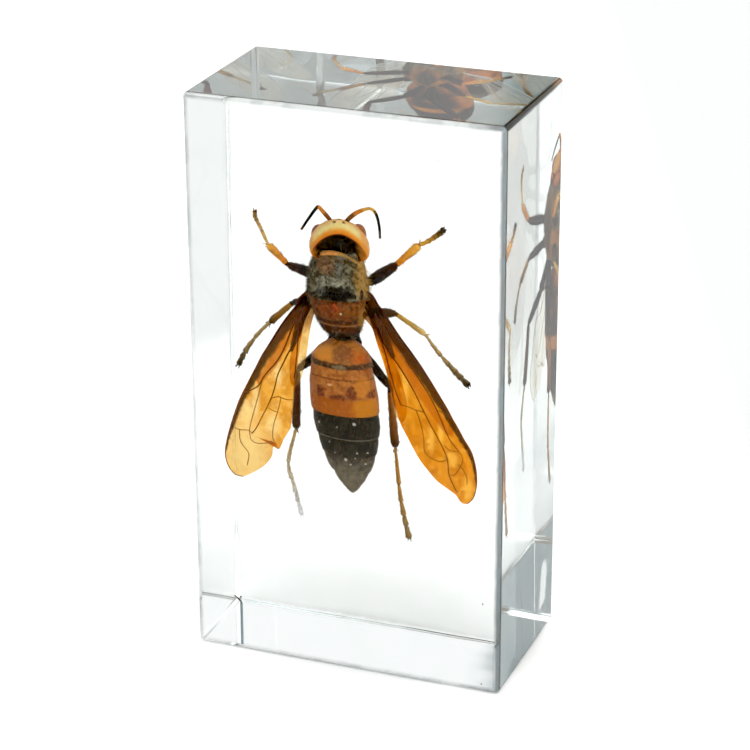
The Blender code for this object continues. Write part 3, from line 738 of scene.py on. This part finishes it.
def wing_coat(name, ground, deep, pale, painted_highlight_spots):
    """Amber membrane that lets light through, with smoky and rusty streaks behind its front edge, and
    painted highlights as pale spots in some cells.
    """
    coat = Coat(name, ground)
    coat.lay(coat.mottle(1.8, 0.42, 0.62), deep, 0.7)
    # Pale spots in some cells: painted highlights.
    coat.lay_spots([((x, -6.6, z), (wide, 3.0, tall), pale, 0.65, 1.0, 0.6)
                    for (x, z), (wide, tall) in painted_highlight_spots])
    coat.lay(coat.mottle(0.7, 0.45, 0.7), pale, 0.3)
    coat.lay(coat.mottle(0.4, 0.5, 0.75), deep, 0.28)
    rust, smoke = coat.frayed("rust"), coat.frayed("smoke")
    coat.lay(rust, "C05E16", 0.68)
    coat.lay(coat.band(45.0, 60.0, 1.2, 1.6), "7A3A18", 0.75)
    coat.lay(smoke, "3C2416", 0.93)
    coat.lay(coat.times(smoke, coat.mottle(0.4, 0.42, 0.62)), "6A3A1C", 0.55)
    coat.fade_in_mirror("FFFDF8")
    return coat.done((0.12, 0.25), (0.5, 0.02), IOR=1.03, Transmission_Weight=0.85)


def vein_coat():
    coat = Coat("wing_vein")
    coat.lay(coat.mottle(0.8, 0.45, 0.65), "7A3E16", 0.4)
    coat.lay(coat.mottle(0.2, 0.5, 0.7), "3A1A0A", 0.3)
    coat.fade_in_mirror("D8DCD8")
    return coat.done((0.4, 0.6), (0.08, 0.01), IOR=1.2)


def speck_coat():
    coat = Coat("resin_speck", "1A1612")
    coat.lay(coat.mottle(0.3, 0.45, 0.6), "4A4232", 0.7)
    return coat.done((0.6, 0.8), (0.1, 0.02), IOR=1.1)


def resin_coat():
    """Clear cast resin: a faint tint in its depth, a polish with a little dust, and painted shade in dark
    blue-grey along its rounded edges.
    """
    coat = Coat("clear_resin", "FFFFFF")
    coat.lay(coat.mottle(4.0, 0.45, 0.7), "FBFDFC")
    edge = coat.group("painted_edge_shade")
    # Painted shade: the rounded edges are laid dark blue-grey, with lighter mottled patches.
    coat.lay(edge, "1A2226", 0.95)
    coat.lay(coat.times(edge, coat.mottle(3.0, 0.45, 0.6)), "4A565C", 0.7)
    dust = coat.spread(coat.mottle(0.35, 0.66, 0.78), 0.0, 0.008)
    wave = coat.noise(coat.place, 9.0, 1.0)[0]
    bump = coat.node("Bump", {"Height": wave, "Distance": RESIN_WAVE, "Strength": 1.0}).outputs[0]
    for label, value in (("Base Color", coat.colour), ("Roughness", dust), ("Normal", bump),
                         ("IOR", RESIN_INDEX), ("Transmission Weight", 1.0)):
        coat.plug(value, coat.shader[label])
    depth = coat.node("VolumeAbsorption", {"Color": tint("C4D6D4"), "Density": RESIN_ABSORPTION}).outputs[0]
    coat.plug(depth, coat.tree.nodes["Material Output"].inputs["Volume"])
    return coat.material


# ---------------------------------------------------------------- the pieces


def make_block(coat):
    """One clear casting. Its broad faces are inset, so that they stay flat up to the edges."""
    bpy.ops.mesh.primitive_cube_add(size=1, location=(0, 0, BLOCK_TALL / 2))
    block = named("resin_block")
    block.scale = (BLOCK_WIDE, BLOCK_DEEP, BLOCK_TALL)
    settle()
    edit_all()
    bpy.ops.mesh.bevel(offset=BLOCK_EDGE, segments=5, profile=0.5)
    bpy.ops.mesh.select_all(action="DESELECT")
    leave()
    for face in block.data.polygons:
        face.select = face.area > 100
    bpy.ops.object.mode_set(mode="EDIT")
    bpy.ops.mesh.inset(thickness=0.04, use_individual=True)
    leave()
    return finish(block, coat, 80, ("resin_front", "resin_back"))


def make_head(coat):
    rings = through([(z, wide, high) + tuple(tint(c)[:3]) for z, wide, high, c in HEAD_RINGS], 60)
    stations = [(r[0], 0, 0, r[1], r[2]) for r in rings]
    head = draw_body("head", stations, 72, [list(np.clip(r[3:6], 0, 1)) + [1.0] for r in rings])
    spots = points_of(head)
    side, high = spots[:, 0] / 3.9, -spots[:, 1] / 2.8
    # The rear rim is drawn in at the crown and bends down to the temples as an arch.
    spots[:, 2] += 0.55 * np.clip(high, 0, 1) ** 2 * (1 - side ** 2) * (spots[:, 2] < 0.6)
    spots[:, 2] -= 0.35 * side ** 2
    spots[:, 1] *= 1 - 0.10 * side ** 2
    spots[:, 1] += 1.0 * side ** 2
    place_points(head, spots)
    place_on_head(head)
    add_modifier(head, "SUBSURF", levels=1, render_levels=1)
    return finish(head, coat)


def place_on_head(piece):
    """Bows a piece that is made round the origin, face up, and sets it on the head's centre."""
    pick(piece)
    piece.rotation_euler = (math.radians(-HEAD_BOW), 0, math.radians(HEAD_TURN))
    piece.location = HEAD_CENTRE
    settle()


def ball(name, centre, radii, detail=3):
    bpy.ops.mesh.primitive_ico_sphere_add(subdivisions=detail, radius=1, location=centre)
    piece = named(name)
    piece.scale = radii
    settle()
    return piece


def make_eyes(coat):
    eyes = []
    for side in (-1, 1):
        # The right eye reaches a little further up the head.
        centre = (2.42, 0.50, 1.20) if side > 0 else (-2.58, 0.98, 1.05)
        eye = ball("eye", centre, (1.0, 1.5, 1.2), 5)
        spots = points_of(eye)
        # The notch beside the antenna makes the eye kidney-shaped.
        inner = np.clip(-side * (spots[:, 0] - side * 2.4), 0, 1)
        spots[:, 0] += side * 0.5 * dip(spots[:, 1], 0.7, 0.4) * inner
        place_points(eye, spots)
        place_on_head(eye)
        eyes.append(eye)
    return finish(join("eyes", eyes), coat)


def make_ocelli(coat):
    dots = []
    for x, y, z in ((-0.58, -2.52, 0.5), (0.58, -2.52, 0.5), (0, -2.26, 1.05)):
        dot = ball("ocellus", (x, y, z), (0.24, 0.2, 0.24), 3)
        place_on_head(dot)
        dots.append(dot)
    return finish(join("ocelli", dots), coat)


def make_face(coat):
    """The shield of the face, the upper lip and the jaws, on the side away from the viewer."""
    shield = [(1.6, 0, 0.9, 1.9, 1.7), (2.2, 0, 0.9, 1.8, 1.6), (2.5, 0, 0.9, 1.5, 1.3),
              (2.62, 0, 0.95, 1.0, 0.85), (2.66, 0, 1.0, 0.4, 0.35)]
    pieces = [draw_body("face", shield, 32, [tint("E8A038")] * 5)]
    for side in (-1, 1):
        course = through([(side * 1.7, 1.9, 1.3, 0.6), (side * 1.7, 2.7, 1.5, 0.72),
                          (side * 1.3, 3.4, 1.6, 0.62), (side * 0.6, 3.9, 1.6, 0.4),
                          (side * 0.1, 4.1, 1.55, 0.14)], 14)
        shades = [tint("C87020")] * 9 + [tint("3A180A")] * 5
        pieces.append(draw_limb("jaw", course, shades))
    face = join("face_and_jaws", pieces)
    place_on_head(face)
    add_modifier(face, "SUBSURF", levels=1, render_levels=1)
    return finish(face, coat)


def make_antenna(side, coat):
    """The stiff first joint and the whip, which is pale at its root on the right."""
    scape, whip = ANTENNAE[side]
    first = through([p + (0.25 + 0.04 * (i in (1, 2)),) for i, p in enumerate(scape)], 12)
    shades = [tint("5A3418")] * 3 + [tint("8A5222")] * 4 + [tint("D8842E")] * 5
    pieces = [draw_limb("scape", first, shades)]
    shades = ["17100C"] * (WHIP_JOINTS - 2) + ["5A4A40"] * 2
    if side == "right":
        shades[:4] = ["E8B050"] * 3 + ["8A5A22"]
    spots = through(whip, WHIP_JOINTS + 1)
    for i, (a, b) in enumerate(zip(spots, spots[1:])):
        thick = 0.22 - 0.005 * i
        course = [tuple(a + (b - a) * t) + (thick * r,) for t, r in WHIP_SHAPE]
        pieces.append(draw_limb("whip", course, [tint(shades[i])] * 5, 10))
    return finish(join(side + "_antenna", pieces), coat)


def eased(stations, count):
    """Rings between the stations."""
    rows = through([(s[1], s[2], s[0], s[3], s[4]) for s in stations], count)
    return [(r[2], r[0], r[1], max(r[3], 0.05), max(r[4], 0.05)) for r in rows]


def dip(value, middle, wide):
    return np.exp(-((value - middle) / wide) ** 2)


def make_thorax(coat):
    thorax = draw_body("thorax", eased(THORAX, 110), 96)
    spots, ways = points_of(thorax), normals_of(thorax)
    x, y, z = spots[:, 0] + 0.95, spots[:, 1], spots[:, 2]
    # The back: the rear shield stands out, parted in the middle, and furrows run across and along.
    move = 0.24 * dip(z, 47.7, 1.0) * (1 - 0.5 * dip(x, 0, 0.25)) * (np.abs(x) < 2.6)
    for height, bend, wide, deep in THORAX_FURROWS:
        move -= deep * dip(z, height + bend * x ** 2, wide)
    move -= 0.07 * dip(x, 0.0, 0.10) * (z > 50.5) * (z < 54)
    for side in (-1, 1):
        move -= 0.10 * dip(x, side * 1.45 + 0.1 * (z - 52), 0.12) * (z > 49.4) * (z < 53.6)
        move -= 0.18 * dip(x, side * 2.75, 0.14) * (z > 47) * (z < 52.5)
    move *= np.clip(-(y + 5.0) / 3.0, 0, 1)
    # The flanks: slanting furrows between the plates that carry the legs.
    flank = dip(y, -3.6, 1.8) * (np.abs(x + 0.9) > 1.5)
    for height, slant in FLANK_FURROWS:
        move -= 0.22 * dip(z, height + slant * (y + 3.6), 0.16) * flank
    belly = np.clip((y + 4.0) / 2.0, 0, 1)
    move -= 0.25 * dip(x + 0.9, 0, 0.18) * belly * (z > 45) * (z < 54)
    outward = np.sign(np.sum(ways * (spots - np.array([-1.8, -4.9, 50.0])), axis=1))
    place_points(thorax, spots + ways * (move * outward)[:, None])
    add_modifier(thorax, "SUBSURF", levels=1, render_levels=1)
    crumple(thorax, 0.8, 0.11)
    crumple(thorax, 0.25, 0.035)
    return finish(thorax, coat)


def crumple(piece, size, depth):
    """Uneven swellings as on dried, hairy shell."""
    texture = bpy.data.textures.new("crumple", "CLOUDS")
    texture.noise_scale = size
    texture.noise_depth = 2
    add_modifier(piece, "DISPLACE", texture=texture, strength=depth, mid_level=0.5,
                 texture_coords="LOCAL")
    bpy.data.textures.remove(texture)


def make_collar(coat):
    """The rim of the first ring, over the front of the thorax, and the two wing scales."""
    course = through([(-4.7, -5.8, 53.5, 0.16), (-4.1, -6.7, 54.3, 0.30), (-3.2, -7.35, 54.9, 0.36),
                      (-1.9, -7.6, 55.1, 0.34), (-0.6, -7.4, 54.9, 0.26), (0.6, -6.7, 54.2, 0.20),
                      (1.1, -5.8, 53.5, 0.16)], 36)
    shades = [tint("F4A45C") if 8 < i < 20 else tint("D0A054") for i in range(36)]
    pieces = [draw_limb("collar", course, shades)]
    for spot in ((-5.3, -6.1, 49.6), (1.2, -6.5, 50.0)):
        pieces.append(ball("wing_scale", spot, (0.5, 0.4, 0.75), 4))
        paint(pieces[-1], [tint("3A2010")], 1)
    collar = join("collar_and_wing_scales", pieces)
    crumple(collar, 0.4, 0.08)
    return finish(collar, coat)


def make_abdomen(coat):
    """Overlapping plates, each one's rear rim standing out over the next."""
    rings = eased(ABDOMEN, 90)
    heights = np.array([r[0] for r in rings])
    stations = []
    for z, offset in plate_profile():
        row = [np.interp(-z, -heights, [r[i] for r in rings]) for i in range(1, 5)]
        stations.append((z, row[0], row[1], max(row[2] - offset, 0.05), max(row[3] - offset, 0.05)))
    abdomen = draw_body("abdomen", stations, 96)
    spots = points_of(abdomen)
    x, y = spots[:, 0] + 1.1, spots[:, 1] + 4.9
    turn = np.abs(np.arctan2(x, -y))
    # The back plates end in a fold along each side, and the belly is flatter.
    under = 1 / (1 + np.exp(-(turn - 1.95) / 0.04))
    spots[:, 0] -= x * 0.045 * under
    spots[:, 1] -= y * (0.045 + 0.07) * under
    place_points(abdomen, spots)
    add_modifier(abdomen, "SUBSURF", levels=1, render_levels=1)
    crumple(abdomen, 1.6, 0.16)
    crumple(abdomen, 0.35, 0.035)
    return finish(abdomen, coat)


def plate_profile():
    """Heights down the abdomen and how far the surface lies inside its outline there."""
    top, rows = 43.75, []
    edges = PLATE_RIMS + [22.9]
    for index, rim in enumerate(edges):
        first = PLATE_STEP if index else 0.0
        steps = np.linspace(top - 0.1 * (index > 0), rim + 0.12, 16)
        for i, z in enumerate(steps):
            rows.append((z, first * (1 - min(i / 8, 1)) ** 1.5))
        if rim > 23:
            rows += [(rim + 0.03, 0.0), (rim, 0.03), (rim + 0.02, 0.10), (rim + 0.05, PLATE_STEP)]
        top = rim
    rows.append((22.9, 0.0))
    return rows


def on_wing(x, z, behind=0.0):
    """The place of a point of a wing: the wing slopes back to its tip, is gently fluted and bends
    down to the thorax at its root."""
    slope = (WING_TIP_Y - WING_ROOT_Y) / (WING_ROOT_Z - WING_TIP_Z)
    along = WING_ROOT_Z - z
    flute = 0.10 * np.sin(1.5 * (x * 0.8 + z * 0.55)) * np.clip(along / 6, 0, 1)
    bend = 1.9 * np.clip((z - 45.0) / 5.0, 0, 1) ** 1.5
    return x - 0.23 * bend, WING_ROOT_Y + slope * along + flute + behind + bend, z - 0.28 * bend


def streaks(flat, lines):
    """How strongly points of a wing are covered by streaks along their middle lines."""
    cover = np.zeros(len(flat))
    for start, end, line in lines:
        middle = through(line, 60)
        gaps = np.linalg.norm(flat[:, None] - middle[None], axis=2)
        wide = start + (end - start) * (gaps.argmin(axis=1) / 59) ** 1.3
        cover = np.maximum(cover, np.clip(1.75 - 1.15 * gaps.min(axis=1) / wide, 0, 1))
    return cover


def make_wing(name, leading, trailing, coat, smoke=(), rust=(), behind=0.0, rows=150, across=34):
    """A sheet spanned between the leading and the trailing side, which meet at the tip."""
    lead, trail = through(leading, rows + 1), through(trailing, rows + 1)
    bpy.ops.mesh.primitive_grid_add(x_subdivisions=across, y_subdivisions=rows, size=1)
    wing = named(name)
    spots = points_of(wing)
    u, v = spots[:, 0, None] + 0.5, np.rint((spots[:, 1] + 0.5) * rows).astype(int)
    flat = lead[v] * (1 - u) + trail[v] * u
    place_points(wing, np.column_stack(on_wing(flat[:, 0], flat[:, 1], behind)))
    for label, lines in (("smoke", smoke), ("rust", rust)):
        mask = wing.data.attributes.new(label, "FLOAT", "POINT")
        mask.data.foreach_set("value", streaks(flat, lines))
    pick(wing)
    edit_all()
    bpy.ops.mesh.remove_doubles(threshold=0.01)
    leave()
    add_modifier(wing, "SOLIDIFY", thickness=MEMBRANE, offset=0.0)
    return finish(wing, coat, merge=0.0005)


def make_veins(name, veins, leading, coat):
    """Raised veins and the stout leading edge."""
    tubes = [draw_vein(line, thick) for thick, line in veins]
    rim = through(leading, 60)
    course = [on_wing(*p) + (0.17 - 0.11 * i / 59,) for i, p in enumerate(rim)]
    tubes.append(draw_limb("rim", course, [vein_shade(p[1], "4A180A", "A85A1C") for p in rim], 8))
    return finish(join(name, tubes), coat)


def vein_shade(z, upper, lower):
    """Dark near the root and lighter towards the tip."""
    mix = min(max((z - 31.0) / 12.0, 0.0), 1.0)
    return [a * mix + b * (1 - mix) for a, b in zip(tint(upper), tint(lower))]


def draw_vein(line, thick):
    """A vein stands a little out of the membrane, and is stouter near the root."""
    count = max(6, int(sum(math.dist(a, b) for a, b in zip(line, line[1:])) / 0.45))
    course, shades = [], []
    for x, z in through(line, count):
        spot = np.array(on_wing(x, z)) - (0, 0.02, 0)
        course.append(tuple(spot) + (thick * (0.75 + 0.35 * min(max((z - 34.0) / 12.0, 0.0), 1.0)),))
        shades.append(vein_shade(z, "5A2410", "8E541C"))
    return draw_limb("vein", course, shades, 8)


def segment(name, start, end, thick, shape, shades):
    """One joint of a leg, thickest where its shape says."""
    a, b = np.array(start), np.array(end)
    first, last = np.array(tint(shades[0])), np.array(tint(shades[1]))
    lengths, widths = zip(*shape)
    marks = sorted(set(np.round(np.linspace(0, 1, 12), 3)) | set(lengths))
    course = [tuple(a + (b - a) * t) + (thick * np.interp(t, lengths, widths),) for t in marks]
    return draw_limb(name, course, [list(first + (last - first) * t ** 2) for t in marks], LIMB_SIDES)


def make_leg(leg, coat):
    hip, root, knee, ankle, foot, thick, shades = LEGS[leg]
    pieces = [
        segment("hip", hip, root, thick[0] * 1.3, HIP_SHAPE, (shades[0], shades[0])),
        segment("thigh", root, knee, thick[0], THIGH_SHAPE, shades[:2]),
        segment("shin", knee, ankle, thick[1], SHIN_SHAPE, shades[2:4]),
    ]
    darken_knee(pieces[2], shades[1])
    pieces += make_foot([ankle] + foot, thick[2:], shades[4:])
    end = Vector(ankle)
    shin = (end - Vector(knee)).normalized()
    aside = shin.cross(Vector((0, 1, 0))).normalized()
    for way in (-0.35, 0.45):
        tip = end + shin * 0.75 + aside * way
        line = [tuple(spot) + (size,) for spot, size in
                ((end - shin * 0.1, 0.09), (end.lerp(tip, 0.5), 0.07), (tip, 0.02))]
        pieces.append(draw_limb("spur", line, [tint(shades[3])] * 3, 6))
    whole = join(leg + "_leg", pieces)
    crumple(whole, 0.35, 0.18)
    return finish(whole, coat)


def darken_knee(shin, shade):
    """The knuckle at the top of the shin is as dark as the knee."""
    for spot in shin.data.color_attributes["shade"].data[:LIMB_SIDES * 3]:
        spot.color = tint(shade)


def make_foot(course, thick, shades):
    """A long first joint, four short ones that widen to their ends, and two claws."""
    line = through(course, 101)
    pieces = []
    first, last = np.array(tint(shades[0])), np.array(tint(shades[1]))
    for index, (a, b) in enumerate(zip(FOOT_JOINTS, FOOT_JOINTS[1:])):
        size = thick[0] + (thick[1] - thick[0]) * FOOT_SWELL[index]
        spots, colours = [], []
        for t, r in FOOT_SHAPE:
            spots.append(tuple(line[int(round(a + (b - a) * t))] + 1e-4 * t) + (size * r,))
            # The end of each joint is darker.
            colours.append(list((first + (last - first) * (index + t) / 5) * (1.0 - 0.5 * (t > 0.93))))
        pieces.append(draw_limb("foot", clear_of_doubles(spots), colours, 10))
    end, ahead = Vector(line[-1]), (Vector(line[-1]) - Vector(line[-6])).normalized()
    aside = ahead.cross(Vector((0, 1, 0))).normalized()
    for way in (-1, 1):
        hook = [tuple(end + ahead * far + aside * way * out + Vector((0, -back, 0))) + (size,)
                for far, out, back, size in CLAW]
        pieces.append(draw_limb("claw", hook, [tint(shades[1])] * 4, 6))
    return pieces


def clear_of_doubles(spots):
    """Stations moved a hair apart where two fall on the same point."""
    kept = [spots[0]]
    for spot in spots[1:]:
        if math.dist(spot[:3], kept[-1][:3]) < 0.012:
            spot = tuple(np.array(spot[:3]) + (np.array(spot[:3]) - np.array(kept[0][:3])) * 0.02
                         + np.array((0, 0, 0.003))) + (spot[3],)
        kept.append(spot)
    return kept


def make_specks(coat):
    """Motes that were cast in with the hornet."""
    motes = [ball("mote", (x, y, z), (size, size * 0.8, size * 1.3), 2) for x, y, z, size in MOTES]
    specks = join("resin_specks", motes)
    crumple(specks, 0.2, 0.08)
    return finish(specks, coat)


# ---------------------------------------------------------------- hairs


def surface_spots(piece, count, generator):
    """Random places on a finished piece with their outward ways, in millimetres."""
    mesh = piece.data
    mesh.calc_loop_triangles()
    corners = np.empty(len(mesh.loop_triangles) * 3, dtype=np.int32)
    mesh.loop_triangles.foreach_get("vertices", corners)
    corners = corners.reshape(-1, 3)
    spots, ways = points_of(piece) * 1000, normals_of(piece)
    a, b, c = (spots[corners[:, i]] for i in range(3))
    size = np.linalg.norm(np.cross(b - a, c - a), axis=1)
    chosen = generator.choice(len(size), count, p=size / size.sum())
    s, t = generator.random(count), generator.random(count)
    fold = s + t > 1
    s[fold], t[fold] = 1 - s[fold], 1 - t[fold]
    place = a[chosen] + (b - a)[chosen] * s[:, None] + (c - a)[chosen] * t[:, None]
    way = ways[corners[chosen, 0]]
    return place, way


def grow_hair(name, under, count, length, thick, lean, coat, seed, where=None, spread=0.35):
    """Closed needles of three sides that stand on a piece and lean one way."""
    generator = np.random.default_rng(seed)
    place, way = surface_spots(under, count, generator)
    if where is not None:
        keep = generator.random(count) < where(place, way)
        place, way = place[keep], way[keep]
    count = len(place)
    heading = way + np.array(lean) + generator.normal(0, spread, (count, 3))
    heading /= np.linalg.norm(heading, axis=1)[:, None]
    long = length * (0.55 + 0.75 * generator.random(count))
    across = np.cross(heading, generator.normal(0, 1, (count, 3)))
    across /= np.linalg.norm(across, axis=1)[:, None]
    other = np.cross(heading, across)
    foot = place - heading * 0.04
    rows = []
    for turn in (0, 2.094, 4.189):
        rows.append(foot + thick * (math.cos(turn) * across + math.sin(turn) * other))
    droop = np.array(lean) * 0.25 * long[:, None]
    rows.append(foot + heading * long[:, None] + droop)
    points = np.stack(rows, axis=1).reshape(-1, 3) * 0.001
    base = np.arange(count)[:, None] * 4
    faces = np.stack([base + np.array(f) for f in ((0, 2, 1), (0, 1, 3), (1, 2, 3), (2, 0, 3))], axis=1)
    mesh = bpy.data.meshes.new(name)
    mesh.from_pydata(points.tolist(), [], faces.reshape(-1, 3).tolist())
    mesh.polygons.foreach_set("use_smooth", [True] * len(mesh.polygons))
    mesh.materials.append(coat)
    hair = bpy.data.objects.new(name, mesh)
    bpy.context.scene.collection.objects.link(hair)
    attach(hair, "root")
    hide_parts("hornet")
    return hair


# ---------------------------------------------------------------- studio


def make_floor():
    """A pale floor that glows a little, which is painted light, but not where the block stands on it, which
    is painted shadow there, and a little greyer well in front of the block and far behind it to the right,
    past the edge of the picture, which is painted shade."""
    bpy.ops.mesh.primitive_plane_add(size=6, location=(0, 0, -0.0001))
    floor = named("floor")
    coat = Coat("paper_floor", "F2F2F0")
    coat.lay(coat.mottle(40.0, 0.4, 0.7), "EEEFEE", 0.6)
    place = coat.parts(coat.place)
    # Painted shade: greyer well in front of the block.
    coat.lay(coat.ramp(coat.times(place["Y"], -1.0), 42.0, 95.0), "C9C8C4")
    # Painted shade: greyer far behind the block to the right.
    painted_shade_behind = coat.ramp(coat.math("ADD", place["X"], coat.times(place["Y"], 0.389)), 48.0, 62.0)
    coat.lay(coat.times(painted_shade_behind, coat.ramp(place["Y"], 30.0, 70.0)), "CBCCCB")
    # Painted light: the floor glows, except where the block stands, which is painted shadow.
    painted_shadow_spot = coat.spot((0.0, 0.0, 0.0), (22.0, 13.0, 9.0), 0.0, 0.15)
    painted_glow = coat.times(FLOOR_PAINTED_GLOW, coat.rest(coat.times(painted_shadow_spot, 0.85)))
    painted_glow = coat.node("CombineColor", {0: painted_glow, 1: painted_glow, 2: painted_glow}).outputs[0]
    coat.plug(painted_glow, coat.shader["Emission Color"])
    floor.data.materials.append(coat.done((0.7, 0.85), Specular_IOR_Level=0.2, Emission_Strength=1.0))


def make_light():
    """A white studio with a broad bright light to the right in front, and dim blue-grey low to the
    left in front and to the right at the back. The bright light has a gap at the camera."""
    world = bpy.data.worlds.new("studio")
    bpy.context.scene.world = world
    world.use_nodes = True
    web = Web(world.node_tree)
    way = web.node("TexCoord").outputs["Generated"]
    parts = web.parts(way)
    x, y, z = parts["X"], parts["Y"], parts["Z"]
    low = web.rest(web.ramp(z, 0.50, 0.62))
    front = web.ramp(web.times(y, -1.0), 0.1, 0.4)
    aside = web.math("ADD", x, web.times(0.333, y))
    over = web.less(x, web.times(0.15, y))
    behind = web.times(web.ramp(aside, -0.01, 0.01), web.ramp(z, 0.15, 0.3))
    behind = web.times(behind, web.rest(web.ramp(over, -0.05, 0.05)))
    gap = web.rest(web.ramp(web.vector("DOT_PRODUCT", way, TO_CAMERA), 0.955, 0.98))
    right = web.times(web.times(front, web.ramp(x, 0.0, 0.25)), gap)
    left = web.less(front, right)
    room = web.times(low, web.math("MAXIMUM", left, behind))
    high = web.times(front, web.ramp(z, 0.55, 0.7))
    more = web.math("ADD", web.times(web.times(right, low), KEY_LIGHT), web.times(high, HIGH_LIGHT))
    light = web.node("Mix", {0: room, 6: STUDIO_WHITE, 7: ROOM_GREY}, data_type="RGBA").outputs[2]
    background = web.tree.nodes["Background"].inputs
    web.plug(light, background["Color"])
    web.plug(web.math("ADD", 1.0, more), background["Strength"])


def set_camera():
    """The photograph's viewing angle: 21 degrees round to the right, 23 degrees down."""
    turn, rise, roll = (math.radians(a) for a in (CAMERA_TURN, CAMERA_RISE, CAMERA_ROLL))
    back = Vector((math.sin(turn) * math.cos(rise), -math.cos(turn) * math.cos(rise), math.sin(rise)))
    bpy.ops.object.camera_add(location=Vector(CAMERA_TARGET) + back * CAMERA_AWAY)
    camera = bpy.context.object
    camera.rotation_euler = (back.to_track_quat("Z", "Y") @ Quaternion((0, 0, 1), roll)).to_euler()
    camera.data.lens, camera.data.sensor_width = CAMERA_LENS, 36
    camera.data.clip_start, camera.data.clip_end = 0.01, 20
    bpy.context.scene.camera = camera


def set_render_look():
    scene = bpy.context.scene
    scene.view_settings.view_transform = "Standard"
    scene.view_settings.use_curve_mapping = True
    scene.view_settings.curve_mapping.black_level = (BLACK_LEVEL,) * 3
    scene.view_settings.curve_mapping.update()
    scene.cycles.max_bounces = 20
    scene.cycles.transmission_bounces = 20
    scene.cycles.glossy_bounces = 12
    scene.cycles.diffuse_bounces = 4
    scene.cycles.use_denoising = True


def make_hornet():
    limb, vein = limb_coat(), vein_coat()
    # Each wing coat: ground, deep and pale colours, then the pale spots that are painted highlights.
    amber = wing_coat("left_wing_amber", "F0AE44", "D88E28", "FFE29A", [
        ((-14.6, 26.6), (3.4, 4.4)), ((-12.9, 34.0), (0.5, 2.2)), ((-10.6, 31.0), (1.0, 1.4)),
        ((-14.2, 32.4), (1.0, 1.6)), ((-9.8, 38.0), (0.5, 1.6))])
    deep_amber = wing_coat("right_wing_amber", "E29020", "CA7410", "FFC450", [
        ((7.0, 38.6), (0.5, 2.4)), ((11.7, 33.2), (0.4, 1.1)), ((10.4, 32.2), (0.4, 1.6)),
        ((13.2, 30.0), (0.6, 1.0)), ((15.2, 26.2), (0.6, 1.6))])
    clear = wing_coat("hind_wing_amber", "F2C674", "DEA048", "FFEAB8", [
        ((5.9, 36.6), (0.9, 2.6)), ((-7.0, 39.5), (0.5, 1.6))])
    head = make_head(head_coat())
    make_eyes(eye_coat())
    make_ocelli(hair_coat("ocellus_glass", "8A5A2A", "C09050"))
    make_face(limb)
    for side in ANTENNAE:
        make_antenna(side, limb)
    thorax = make_thorax(thorax_coat())
    make_collar(limb)
    abdomen = make_abdomen(abdomen_coat())
    make_wing("left_fore_wing", LEFT_LEADING, LEFT_TRAILING, amber, LEFT_SMOKE, LEFT_RUST)
    make_wing("right_fore_wing", RIGHT_LEADING, RIGHT_TRAILING, deep_amber, RIGHT_SMOKE, RIGHT_RUST)
    hind = {"behind": HIND_WING_BEHIND, "rows": 50, "across": 10}
    make_wing("left_hind_wing", LEFT_HIND_LEADING, LEFT_HIND_TRAILING, clear, **hind)
    make_wing("right_hind_wing", RIGHT_HIND_LEADING, RIGHT_HIND_TRAILING, clear, **hind)
    make_veins("left_veins", LEFT_VEINS, LEFT_LEADING, vein)
    make_veins("right_veins", RIGHT_VEINS, RIGHT_LEADING, vein)
    legs = [make_leg(leg, limb) for leg in LEGS]
    grow_all_hair(head, thorax, abdomen, legs)
    make_specks(speck_coat())


def grow_all_hair(head, thorax, abdomen, legs):
    fur = hair_coat("thorax_fur", "2A2012", "B4A478")
    gold = hair_coat("golden_fur", "C08C38", "ECC470")
    fine = hair_coat("body_down", "8A6030", "D0A060")
    dark = hair_coat("leg_bristle", "2A1A0C", "A87A38")
    grow_hair("thorax_fur", thorax, 16000, 0.55, 0.024, (0, 0, -0.3), fur, 11,
              lambda p, n: np.where(p[:, 2] > 49.2, 0.9, 0.25) * (p[:, 2] < 54.9) * (p[:, 0] < 0.9), 0.6)
    grow_hair("golden_fur", thorax, 6500, 0.8, 0.018, (0.25, -0.1, -0.2), gold, 12,
              lambda p, n: np.clip((p[:, 0] - 0.6) / 1.5, 0, 1) * 0.9 + 0.1 * (p[:, 2] > 54))
    grow_hair("head_down", head, 2500, 0.28, 0.010, (0, -0.2, -0.3), fine, 13)
    grow_hair("abdomen_down", abdomen, 9000, 0.30, 0.010, (0, 0, -0.9), fine, 14)
    for index, leg in enumerate(legs):
        grow_hair(leg.name + "_bristles", leg, 800, 0.42, 0.026, (0, 0, 0), dark, 20 + index, spread=0.3)


set_camera()
set_render_look()
make_light()
make_floor()
make_block(resin_coat())
make_hornet()
